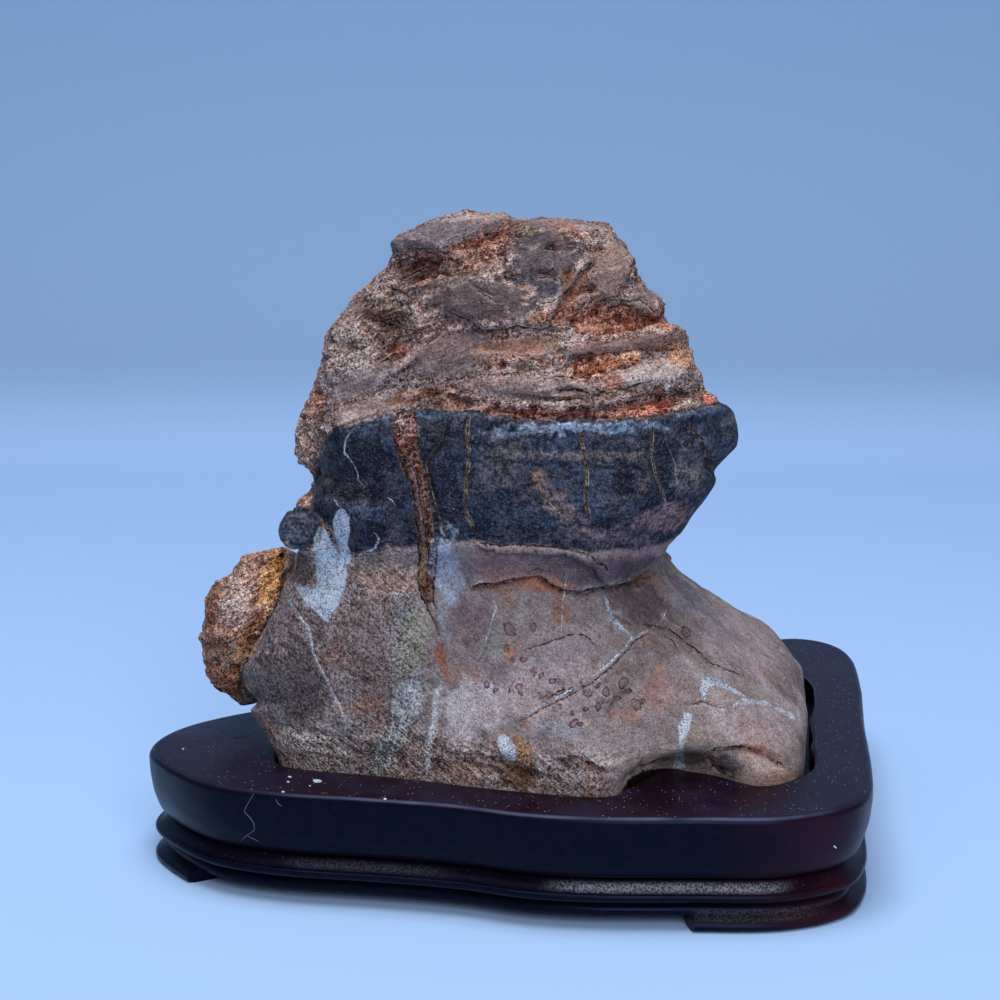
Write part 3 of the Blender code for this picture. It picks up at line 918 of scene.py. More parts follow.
LEFT_STRIP = [(327, 435), (320, 460), (315, 485), (313, 510), (296, 512), (250, 500), (250, 435)]
RUST_VEIN = [
    (397, 411), (391, 432), (396, 448), (402, 465), (409, 480), (414, 495), (416, 515), (418, 535),
    (419, 560), (418, 580), (421, 598), (428, 606), (433, 598), (434, 580), (437, 560), (437, 545),
    (434, 520), (432, 500), (428, 480), (424, 462), (418, 450), (417, 430), (417, 411),
]
LIP = [
    (474, 543), (500, 546), (524, 545), (550, 546), (575, 550), (592, 556), (640, 551), (666, 548),
    (652, 571), (645, 573), (630, 582), (615, 586), (600, 588), (580, 592), (560, 590), (548, 583),
    (540, 577), (520, 577), (500, 583), (484, 584), (466, 570),
]
print("borders traced:", len(BAND) + len(SEAM) + len(ORANGE_LOBE) + len(RUST_VEIN) + len(LIP), "points")

# %% [markdown]
# Broken layers overlap like plates: along each edge, one side stands proud and the other is undercut. A step
# needs its line, its height, and how far back the rise fades. Grooves and ridges need a width instead. The
# tables below are the rock's relief, read off the photograph from the cap down to the foot.

# %% Relief that follows lines
# Course, height in mm, fading width in mm. The side below or right of the course stands out, or the other
# side if the height is negative
STEPS = {
    "top_plate": ([(386, 253), (412, 248), (437, 250), (446, 254), (451, 247), (466, 243), (480, 238),
        (500, 229), (517, 220)], -1.1, 5),
    "second_slab": ([(437, 291), (452, 284), (470, 276), (500, 271), (520, 272)], 0.6, 7),
    "long_crack": ([(443, 316), (455, 315), (462, 318), (470, 322), (484, 331), (500, 330), (520, 326),
        (535, 329), (550, 327), (572, 328)], -0.9, 6),
    "diagonal_crack": ([(600, 258), (580, 272), (572, 285), (560, 300), (553, 318), (546, 330)], 0.8, 6),
    "plate_rim": ([(572, 226), (583, 242), (583, 256), (574, 271), (558, 279), (534, 276)], 0.55, 4),
    "shadow_step": ([(590, 300), (612, 298), (630, 306), (650, 316), (664, 322)], -0.6, 5),
    "seam_roof": ([(484, 408), (505, 408), (540, 410), (570, 412), (590, 410), (605, 405), (640, 401),
        (668, 396), (700, 384)], -0.9, 4),
    "left_slab": ([(372, 388), (392, 378), (412, 362), (440, 344)], -0.5, 4),
    "rough_slab": ([(326, 378), (345, 350), (372, 326), (398, 310)], 0.5, 5),
    "low_shelf": ([(400, 402), (430, 392), (452, 394), (478, 404)], -0.6, 3),
    "band_foot": ([(474, 543), (500, 546), (530, 545), (560, 547), (580, 552), (592, 557), (602, 566),
        (614, 575)], -0.9, 4),
    "lip_crack": ([(466, 588), (484, 584), (500, 583), (520, 577), (540, 576), (548, 582), (560, 590),
        (580, 592), (600, 588), (615, 586), (630, 582), (645, 572), (654, 568)], -1.1, 5),
    "foot_oval": ([(704, 752), (720, 747), (735, 746), (760, 749), (775, 757), (788, 770)], -0.8, 4),
    "foot_break": ([(684, 707), (703, 701), (718, 708), (733, 710)], 0.4, 3),
    "lobe_seam": ([(283, 545), *ORANGE_LOBE[1:7]], -1.0, 5),
    "left_fold": ([(296, 610), (309, 629), (313, 652), (326, 679), (340, 707), (346, 725)], 0.35, 6),
    "base_ledge": ([(548, 760), (575, 757), (600, 765), (612, 778)], -0.5, 3),
    "base_hollow": ([(452, 752), (480, 752), (500, 760), (518, 764), (535, 770)], -0.5, 3),
}
# Course, half width in mm, height in mm: negative for a groove
LINES = {
    "ledge": ([(556, 352), (575, 349), (600, 346), (625, 342), (650, 338), (672, 335),
        (690, 340)], 1.25, 1.7),
    "ledge_shadow": ([(572, 358), (600, 355), (630, 350), (660, 345), (684, 347)], 0.5, -1.2),
    "low_ridge": ([(532, 398), (560, 397), (590, 396), (620, 394), (650, 392), (676, 388)], 0.55, 0.5),
    "low_ridge_shadow": ([(548, 391), (575, 390), (596, 396), (612, 388)], 0.35, -0.7),
    "slab_crack": ([(463, 277), (470, 283), (478, 290), (485, 295), (492, 300), (504, 304)], 0.22, -0.6),
    "rusty_fold": ([(404, 279), (413, 274), (424, 268), (438, 262)], 0.3, -0.6),
    "rusty_slit": ([(420, 250), (430, 254), (440, 257)], 0.24, -0.5),
    "mauve_notch": ([(383, 284), (395, 290), (405, 294), (413, 300), (417, 307)], 0.26, -0.6),
    "eye_crack_top": ([(538, 240), (545, 247), (552, 252), (558, 257), (566, 257)], 0.2, -0.5),
    "eye_crack_side": ([(530, 286), (538, 279), (548, 277), (557, 280), (563, 288)], 0.2, -0.45),
    "eye_crack_low": ([(532, 296), (540, 303), (552, 302), (560, 294)], 0.15, -0.4),
    "crown_crack": ([(578, 258), (590, 252), (597, 245)], 0.2, -0.5),
    "column_foot": ([(586, 306), (600, 300), (612, 299), (625, 301), (640, 300), (655, 312),
        (662, 320)], 0.2, -0.5),
    "shelf_crack": ([(548, 378), (560, 376), (572, 378), (584, 381)], 0.2, -0.4),
    "low_line": ([(535, 399), (560, 401), (575, 400), (590, 398), (600, 395), (622, 389), (640, 384),
        (660, 379)], 0.24, -0.6),
    "rough_crack_high": ([(348, 309), (356, 303), (364, 296)], 0.26, -0.6),
    "rough_crack_middle": ([(378, 322), (392, 318), (402, 324), (412, 333)], 0.24, -0.6),
    "rough_crack_low": ([(340, 352), (352, 346), (362, 350), (374, 342)], 0.2, -0.5),
    "left_foot_crack": ([(384, 366), (392, 376), (402, 380), (414, 377)], 0.22, -0.5),
    "short_crack": ([(420, 350), (430, 343), (445, 330)], 0.2, -0.6),
    "pocket_crack": ([(540, 262), (548, 256), (556, 262), (552, 272), (540, 268)], 0.22, -0.5),
    "shoulder_notch": ([(590, 224), (597, 232), (592, 246)], 0.4, -0.8),
    "side_notch": ([(318, 344), (324, 337), (330, 330)], 0.9, -1.2),
    "vein_block": ([(447, 418), (443, 435), (439, 446), (430, 455), (426, 462), (429, 480), (433, 495),
        (437, 512), (444, 527), (453, 541)], 0.2, -0.5),
    "vein_470": ([(471, 412), (467, 430), (469, 450), (468, 470), (466, 485), (465, 500), (467, 515),
        (473, 528), (480, 540)], 0.16, -0.4),
    "vein_527": ([(527, 420), (527, 435), (531, 450), (535, 465), (539, 480), (541, 492), (550, 503),
        (560, 514), (572, 524)], 0.14, -0.3),
    "vein_585": ([(586, 422), (582, 436), (583, 450), (586, 462), (587, 480), (585, 497), (588, 511),
        (592, 524)], 0.16, -0.4),
    "vein_651": ([(653, 422), (652, 440), (652, 460), (655, 473), (660, 486), (664, 500),
        (669, 512)], 0.16, -0.4),
    "vein_675": ([(662, 424), (668, 446), (674, 462), (677, 482), (686, 512)], 0.14, -0.3),
    "rust_left_side": ([(391, 432), (396, 448), (402, 465), (409, 480), (414, 495), (416, 515), (418, 535),
        (419, 560), (418, 580), (421, 598), (429, 612), (436, 625), (440, 640)], 0.24, -0.6),
    "rust_right_side": ([(417, 430), (418, 450), (424, 462), (428, 480), (432, 500), (434, 520), (437, 545),
        (437, 560), (434, 580), (432, 600), (440, 615)], 0.24, -0.6),
    "rust_middle": ([(404, 450), (416, 474), (421, 500), (425, 530), (428, 560), (426, 590)], 0.2, -0.5),
    "lobe_crack": ([(687, 415), (692, 430), (700, 437), (705, 450), (708, 463), (718, 468)], 0.34, -1.0),
    "knob_neck": ([(318, 512), (322, 522), (317, 541), (308, 549), (292, 549), (282, 544)], 0.5, -0.9),
    "finger_gap": ([(322, 521), (329, 533), (336, 546)], 0.4, -0.7),
    "slope_crack": ([(640, 624), (668, 628), (684, 640), (700, 654), (711, 663), (728, 670),
        (746, 676)], 0.24, -0.45),
    "foot_crack": (STEPS["foot_break"][0], 0.2, -0.5),
    "oval_crack": ([(766, 755), (776, 762), (786, 771)], 0.2, -0.5),
    "toe_crack": ([(706, 752), (712, 766), (730, 776), (742, 780)], 0.22, -0.4),
    "diagonal_vein": ([(511, 723), (530, 716), (548, 706), (572, 694), (590, 684), (611, 668), (626, 652),
        (636, 640), (653, 631)], 0.16, -0.35),
    "body_curve": ([(520, 652), (540, 645), (556, 640), (570, 634), (582, 634), (592, 641),
        (601, 656)], 0.12, -0.35),
    "body_stroke": ([(583, 684), (591, 685), (601, 690)], 0.14, -0.35),
    "red_fibre": ([(542, 702), (552, 694), (560, 690), (572, 688)], 0.14, -0.35),
    "stain_fibre": ([(664, 632), (672, 641), (681, 656)], 0.1, -0.35),
    "left_fibre": ([(474, 664), (484, 655), (488, 644), (490, 630)], 0.14, -0.35),
    "left_fibre_low": ([(505, 703), (509, 690), (516, 676)], 0.12, -0.35),
    "pocket_crevice": ([(378, 354), (386, 347), (394, 334), (393, 322), (398, 312)], 0.4, -1.0),
    "pocket_crevice_low": ([(372, 366), (384, 360), (396, 356), (404, 350)], 0.35, -0.9),
    "pocket_side": ([(404, 316), (410, 326), (415, 338)], 0.22, -0.5),
    "high_crevice": ([(355, 326), (362, 314), (372, 306), (380, 296)], 0.3, -0.8),
    "left_slit": ([(352, 330), (343, 338), (334, 350)], 0.18, -0.5),
    "left_slit_low": ([(374, 382), (379, 370), (390, 366), (402, 360)], 0.2, -0.5),
    "middle_slit": ([(440, 376), (450, 380), (462, 381)], 0.18, -0.4),
    "high_slit": ([(396, 292), (404, 300), (414, 316), (424, 324)], 0.18, -0.5),
    "fibre_slit": ([(486, 676), (500, 671), (508, 660)], 0.2, -0.3),
    "low_slit": ([(516, 776), (522, 783), (530, 788)], 0.5, -1.0),
    # The gap under the arch is carved, and also painted black as a painted shadow
    "arch_gap_and_painted_shadow": ([(624, 794), (630, 781), (641, 773), (656, 771), (676, 773)], 0.8, -3.0),
}
STEP_STRENGTH = 1.5
print(len(STEPS), "steps and", len(LINES), "grooves and ridges")

# %% [markdown]
# Plates and hollows are broader than a line. Each is an ellipse that rises or sinks by a millimetre or so,
# flat in its middle and falling off towards its rim.

# %% Broad rises and hollows
# Middle across and down, half width, half height, turn in degrees, rise in mm
FORMS = {
    "top_plate": (444, 234, 56, 14, -14, 1.0),
    "under_plate_hollow": (465, 260, 44, 12, -12, -1.4),
    "pitted_hollow": (412, 268, 30, 12, 0, -1.0),
    "mauve_slab": (480, 300, 64, 22, 8, 1.3),
    "middle_plate": (548, 262, 38, 36, -20, 1.4),
    "olive_hollow": (388, 330, 26, 28, 10, -1.8),
    "left_slab": (350, 378, 42, 24, -28, 1.2),
    "middle_swell": (446, 360, 40, 24, -10, 0.9),
    "crack_hollow": (520, 343, 50, 9, -4, -1.1),
    "orange_field": (606, 320, 42, 14, 6, -1.4),
    "column": (614, 268, 24, 30, 24, 1.2),
    "shelf_hollow": (606, 366, 40, 8, -10, -1.4),
    "shelf_rise": (652, 374, 42, 12, -12, 1.2),
    "low_bulge": (516, 388, 50, 12, 2, 1.0),
    "band_dent": (352, 486, 28, 18, 0, -0.9),
    "band_belly": (620, 490, 34, 34, 0, 0.6),
    "lip_belly": (600, 568, 40, 12, -6, 0.9),
    "nodule": (507, 748, 9, 13, -20, 1.0),
    "nodule_pocket": (526, 768, 16, 11, 20, -0.9),
    "toe": (745, 764, 40, 14, 8, 0.5),
    "lobe_front": (232, 612, 26, 46, 12, 0.8),
    "knob": (299, 529, 20, 20, 0, 1.7),
}
print(len(FORMS), "rises and hollows")

# %% [markdown]
# Between its broken parts the cap has calm plates, smooth but for thin striations that follow the layers.
# Where they lie is written down the same way, and roughness and pits are held back there.

# %% Calm plates
# Middle across and down, half width, half height, turn in degrees
CALM_PLATES = {
    "top_plate": (452, 231, 66, 15, -15), "crown": (556, 223, 46, 9, 5),
    "mauve_slab": (482, 301, 62, 21, 8), "middle_plate": (546, 268, 34, 44, -12),
    "middle_low": (452, 354, 46, 24, -10), "column": (612, 268, 20, 32, 26), "ledge": (625, 345, 72, 7, -8),
    "shelf": (648, 374, 46, 13, -12), "low_bulge": (524, 388, 66, 12, 2),
    "left_slab": (362, 382, 34, 14, -30), "right_edge": (648, 292, 14, 24, 28),
    "pale_left": (372, 408, 46, 10, -16), "orange_wedge": (520, 348, 42, 10, -4),
}
print(len(CALM_PLATES), "calm plates")

# %% [markdown]
# A crack drawn as a clean line looks engraved. So before measuring, the pixel places are shaken by unevenness
# at two sizes: lines then wander, and plates get ragged edges. Away from the front the same lines would be
# smeared along the line of sight, so finer relief fades out where the surface turns away from the camera.

# %% Carve the lines
def ragged(points, strength=1.0):
    """The pixels where the points are seen, shaken by broad and fine unevenness."""
    shake = np.stack([1.6 * swell(points, 3.2, seed) + 0.9 * swell(points, 0.9, seed + 2)
                      for seed in (11, 14)], axis=1)
    return seen_at(points) + strength * shake


def facing(points, normals):
    """1 where the surface looks at the camera, 0 where it turns away."""
    toward = np.array(CAMERA_PLACE) - points
    toward /= np.linalg.norm(toward, axis=1, keepdims=True)
    return smooth_step(np.sum(toward * normals, axis=1), 0.02, 0.3)


def ellipse(where, across, down, half_across, half_down, turn):
    """0 in the middle of an ellipse, 1 on its rim, and more outside."""
    turn = math.radians(turn)
    x, y = where[:, 0] - across, where[:, 1] - down
    return np.hypot((x * math.cos(turn) + y * math.sin(turn)) / half_across,
                    (y * math.cos(turn) - x * math.sin(turn)) / half_down)


def calm_share(points, normals):
    """1 on the calm plates, 0 where the cap is broken; beyond the front, plates come by chance."""
    where = ragged(points)
    seen = facing(points, normals)
    unease = 0.2 * rough(points, 4.0, 3, 29)
    calm = np.zeros(len(points))
    for place in CALM_PLATES.values():
        calm = np.maximum(calm, 1 - smooth_step(ellipse(where, *place) + unease, 0.75, 1.2))
    return calm * seen + smooth_step(rough(points, 15.0, 2, 33), 0.0, 0.5) * (1 - seen)


def line_relief(points, normals):
    where = ragged(points)
    seen = facing(points, normals)
    height = np.zeros(len(points))
    unease = 0.25 * rough(points, 5.0, 2, 19)
    for *place, rise in FORMS.values():
        height += rise * seen * (1 - smooth_step(ellipse(where, *place) + unease, 0.45, 1.2))
    for course, rise, reach in STEPS.values():
        gap, side, taper = stroke(course, where)
        proud = side * np.sign(rise) > 0
        shape = np.where(proud, np.exp(-gap / reach), -0.45 * np.exp(-gap / (0.35 * reach)))
        height += STEP_STRENGTH * abs(rise) * taper * shape * (0.35 + 0.65 * seen)
    for course, half, rise in LINES.values():
        gap, _, taper = stroke(course, where)
        height += rise * taper * (1 - smooth_step(gap, 0.4 * half, 1.7 * half)) * seen
    return height


def recalculated(piece, points):
    """Writes the points to the mesh and returns its new directions."""
    piece.data.vertices.foreach_set("co", points.astype(np.float32).ravel())
    piece.data.update()
    return mesh_numbers(piece.data)[1]


SEAT_DEPTH_HIDDEN = 20.5
normals = recalculated(rock, points)
above_seat = smooth_step(points[:, 2], SEAT_DEPTH_HIDDEN, SEAT_DEPTH_HIDDEN + 2.2)
relief = line_relief(points, normals)
points += normals * (relief * above_seat)[:, None]
print("line relief from", relief.min().round(2), "to", relief.max().round(2), "mm")

# %% [markdown]
# Each zone also has a surface of its own. The cap is a broken, layered crust: its layers climb to the right,
# steeply on the left and gently on the right. The left lobe is a coarse, crumbly mass. The band is smooth,
# cut by its veins into pillows, with a rounded shelf along its top. The body is water-worn, only its lowest
# rim is broken. Zone weights come from the borders, with soft edges.

# %% Zone weights
def zones(points, normals):
    """How much each point belongs to each zone of the rock, from 0 to 1."""
    where = ragged(points, 0.8)
    band = smooth_step(inside(BAND, where), -0.25, 0.25)
    top = np.interp(where[:, 0], *np.array(BAND_TOP, float).T)
    strip = smooth_step(inside(LEFT_STRIP, where), -0.3, 0.3)
    cap = np.maximum(smooth_step((top - where[:, 1]) / PIXELS_PER_MM, -0.2, 0.2), strip) * (1 - band)
    lobe = smooth_step(inside(ORANGE_LOBE, where), -0.2, 0.3) * (1 - cap)
    knob_gap = np.hypot(*(where - KNOB).T) - KNOB_RADIUS
    knob = smooth_step(-knob_gap / PIXELS_PER_MM, -0.15, 0.25) * smooth_step(-points[:, 1], 8, 14)
    lip = smooth_step(inside(LIP, where), 0.0, 1.2) * smooth_step(-points[:, 1], 5, 12)
    rust = smooth_step(inside(RUST_VEIN, where), -0.15, 0.35) * smooth_step(-points[:, 1], 2, 8)
    seam = smooth_step(inside(SEAM, where), -0.3, 0.4) * smooth_step(rough(points, 2.6, 3, 21), -0.5, 0.1)
    band *= 1 - knob
    body = np.clip(1 - cap - band - lobe - knob, 0, 1)
    return {"band": band, "cap": cap, "lobe": lobe * (1 - knob), "knob": knob, "lip": lip, "rust": rust,
            "seam": seam, "body": body}


def layer_level(points):
    """Which layer of the cap a point lies in, as a height that follows the layers' climb to the right."""
    x = points[:, 0]
    climb = 0.16 * x + 0.26 * np.minimum(x + 4, 0) + 0.12 * points[:, 1]
    return points[:, 2] - climb + 1.5 * swell(points, 22, 31)


def crumbs(points, size, seed):
    """Broken blocks with cracks between them: 0 in a crack, 1 within a block."""
    place = points / size + 9.1 * seed
    cell = np.floor(place).astype(int)
    best = np.full(len(points), 9.0)
    second = best.copy()
    for step in np.ndindex(3, 3, 3):
        corner = cell + np.array(step) - 1
        gap = np.linalg.norm(place - (corner + 0.5 + 0.45 * lattice_slope(corner)), axis=1)
        second = np.minimum(second, np.maximum(gap, best))
        best = np.minimum(best, gap)
    return smooth_step(second - best, 0.02, 0.35)


weights = zones(points, normals)
weights["calm"] = calm_share(points, normals)
print({name: round(float(weight.mean()), 3) for name, weight in weights.items()})

# %% Carve the zones
def broken_foot(points):
    """1 where the body's lowest front rim is broken, 0 elsewhere."""
    low = smooth_step(-points[:, 2] + 1.5 * swell(points, 6.0, 77), -30, -25)
    return low * smooth_step(points[:, 0], -42, -28) * smooth_step(-points[:, 0], -22, -14)


def zone_relief(points, weights):
    """The surface that each zone has by itself."""
    layered = np.column_stack([points[:, :2] / 7.0, layer_level(points) / 1.25])
    layers = swell(layered, 1.0, 41) + 0.6 * swell(layered * (1.4, 1.4, 2.1), 1.0, 42)
    chips = crumbs(layered * (1.6, 1.6, 0.7) + 0.4 * swell(points, 2.5, 51)[:, None], 1.0, 52)
    broken = 0.42 * layers + 0.40 * rough(points, 5.0, 4, 43) + 0.4 * (chips - 1)
    striated = 0.10 * swell(layered * (0.5, 0.5, 2.2), 1.0, 44) + 0.12 * rough(points, 9.0, 3, 45)
    broken += weights["calm"] * (striated - broken)
    crumbly = 0.6 * rough(points, 5.2, 4, 61) + 0.3 * (crumbs(points, 2.3, 62) - 1)
    worn = 0.45 * rough(points, 11.0, 2, 71) + 0.10 * rough(points, 2.2, 3, 72)
    low_rim = broken_foot(points)
    ledges = np.column_stack([points[:, :2] / 9.0, (points[:, 2] + 0.1 * points[:, 0]) / 1.5])
    broken_rim = 0.7 * swell(ledges, 1.0, 81) + 0.4 * rough(points, 3.0, 3, 82)
    fine_dark = 0.25 * rough(points, 9.0, 2, 91) + 0.05 * swell(points, 1.3, 92)
    return (weights["cap"] * broken + weights["lobe"] * crumbly
            + weights["body"] * (worn + 1.2 * low_rim * broken_rim)
            + weights["band"] * fine_dark + weights["rust"] * 0.35 * (rough(points, 1.6, 2, 95) - 0.9)
            - 0.5 * weights["seam"] * (1 - 0.7 * rough(points, 1.6, 3, 96)) + 0.5 * weights["lip"])


SHELF_COMES = (440, 500)


def shelf_relief(points, weights):
    """The band's rounded top shelf, and the pillows between its veins."""
    where = ragged(points, 0.5)
    below_top = (where[:, 1] - np.interp(where[:, 0], *np.array(BAND_TOP, float).T)) / PIXELS_PER_MM
    shelf = 0.5 * np.exp(-((below_top - 0.9) / 0.8) ** 2) - 0.55 * np.exp(-((below_top - 2.9) / 0.8) ** 2)
    shelf += 0.25 * np.exp(-((below_top - 6.6) / 0.7) ** 2) - 0.2 * np.exp(-((below_top - 8.0) / 0.7) ** 2)
    pillows = np.zeros(len(points))
    for name in ("vein_470", "vein_585", "vein_651", "vein_block", "vein_527"):
        gap, _, _ = stroke(LINES[name][0], where)
        pillows -= 0.16 * np.exp(-(gap / 0.8) ** 2) + 0.45 * np.exp(-(gap / 2.8) ** 2)
    return weights["band"] * (smooth_step(where[:, 0], *SHELF_COMES) * shelf + pillows)


normals = recalculated(rock, points)
relief = zone_relief(points, weights) + shelf_relief(points, weights) * facing(points, normals)
points += normals * (relief * above_seat)[:, None]
print("zone relief from", relief.min().round(2), "to", relief.max().round(2), "mm")

# %% [markdown]
# Weathered crust is full of small holes where softer grains fell out. We scatter two thousand pits by
# chance, with a fixed seed: more on the cap and the lobe, most in the zones where the photograph shows them.
# Each pit is a little bowl pressed into the surface, found with a search tree of the mesh's points.

# %% Pits
# Middle across and down, half width, half height
PIT_FIELDS = {
    "olive_pocket": (388, 330, 26, 30), "under_plate": (418, 266, 30, 14),
    "above_seam_left": (435, 397, 42, 12), "left_edge": (312, 410, 14, 60),
    "orange_field": (610, 322, 40, 18), "orange_shelf": (600, 368, 34, 12), "lobe_edge": (272, 575, 14, 34),
    "lobe_foot": (218, 680, 24, 20), "shoulder": (560, 255, 26, 22), "strip": (306, 478, 10, 30),
}
PIT_COUNT = 2100


def pits(points, normals, weights):
    """Depth of the small holes at each point, in mm."""
    where = seen_at(points)
    chance = 0.004 + 0.16 * weights["cap"] + 0.02 * weights["body"]
    chance += 0.3 * (weights["lobe"] + weights["seam"])
    seen = facing(points, normals)
    for across, down, half_across, half_down in PIT_FIELDS.values():
        far = ((where[:, 0] - across) / half_across) ** 2 + ((where[:, 1] - down) / half_down) ** 2
        chance += 1.6 * (1 - smooth_step(far, 0.5, 1.3)) * seen
    chance *= (points[:, 2] > SEAT_DEPTH_HIDDEN) * (1 - weights["rust"]) * (1 - 0.88 * weights["calm"])
    middles = draw.choice(len(points), PIT_COUNT, p=chance / chance.sum(), replace=False)
    tree = kdtree.KDTree(len(points))
    for index, point in enumerate(points):
        tree.insert(point, index)
    tree.balance()
    depth = np.zeros(len(points))
    for middle, radius in zip(middles, 0.4 + 0.7 * draw.random(PIT_COUNT) ** 4):
        rim = 1.3 * radius
        for _, index, gap in tree.find_range(points[middle], rim):
            depth[index] = max(depth[index], 0.75 * radius * (1 - (gap / rim) ** 2))
    return depth


normals = recalculated(rock, points)
pit_depth = pits(points, normals, weights)
points -= normals * pit_depth[:, None]
print("pits cover", (pit_depth > 0.1).mean().round(3), "of the rock")

# %% [markdown]
# Half-millimetre voxels everywhere are more than a piece may have. Decimate collapses the least needed edges,
# and a vertex group tells it where to spare them: the front keeps most of its points, and the back, which
# has no such fine lines to hold, gives up more of its own.

# %% Spend the triangles on the front
ROCK_TRIANGLES = 192000
normals = recalculated(rock, points)
spare = rock.vertex_groups.new(name="spare")
thrift = 1 - 0.8 * facing(points, normals)
for level in range(1, 11):
    chosen = np.flatnonzero(np.ceil(thrift * 10).astype(int) == level)
    spare.add(chosen.tolist(), level / 10, "REPLACE")
lighten = rock.modifiers.new("Lighten", "DECIMATE")
lighten.ratio = ROCK_TRIANGLES / (2 * len(rock.data.polygons))
lighten.vertex_group = "spare"
lighten.vertex_group_factor = 1.0
settle(rock)
points, normals = mesh_numbers(rock.data)
print("carved rock:", len(rock.data.polygons), "faces,", len(points), "points")

# %% [markdown]
# Colour comes in two layers. The broad one is painted on the mesh's points: each zone has its own stone
# colour, broken up by unevenness, and over it go dabs, soft ellipses of colour that are read off the
# photograph. The fine one, grains and specks and crisp vein edges, is left to the material. Dabs are
# written as they look in the picture's cool light, and unlit turns them into the stone's own colour.

# %% Paint boxes
LIGHT_SEEN = np.array((0.62, 0.70, 0.86))
ZONE_COLOURS = {
    "body": (112, 104, 110), "cap": (128, 111, 114), "lobe": (138, 113, 107), "band": (33, 38, 54),
    "knob": (55, 59, 76), "seam": (184, 142, 136), "rust": (106, 64, 52), "lip": (84, 72, 82),
}
# Zone: (colour, width of its patches in mm, share of the surface)
PATCHES = {
    "body": [((98, 88, 92), 17, 0.40), ((133, 127, 136), 12, 0.34), ((128, 100, 96), 8, 0.22),
             ((110, 110, 112), 9, 0.18)],
    "cap": [((150, 108, 92), 11, 0.36), ((100, 86, 90), 9, 0.32), ((152, 142, 145), 6, 0.32),
            ((104, 91, 86), 13, 0.16)],
    "lobe": [((156, 108, 86), 6, 0.34), ((168, 152, 148), 5, 0.4), ((104, 80, 72), 4, 0.2)],
    "band": [((66, 63, 70), 7, 0.30), ((38, 48, 70), 6, 0.40), ((28, 29, 40), 4, 0.30)],
    "knob": [((64, 68, 86), 4, 0.4)],
}
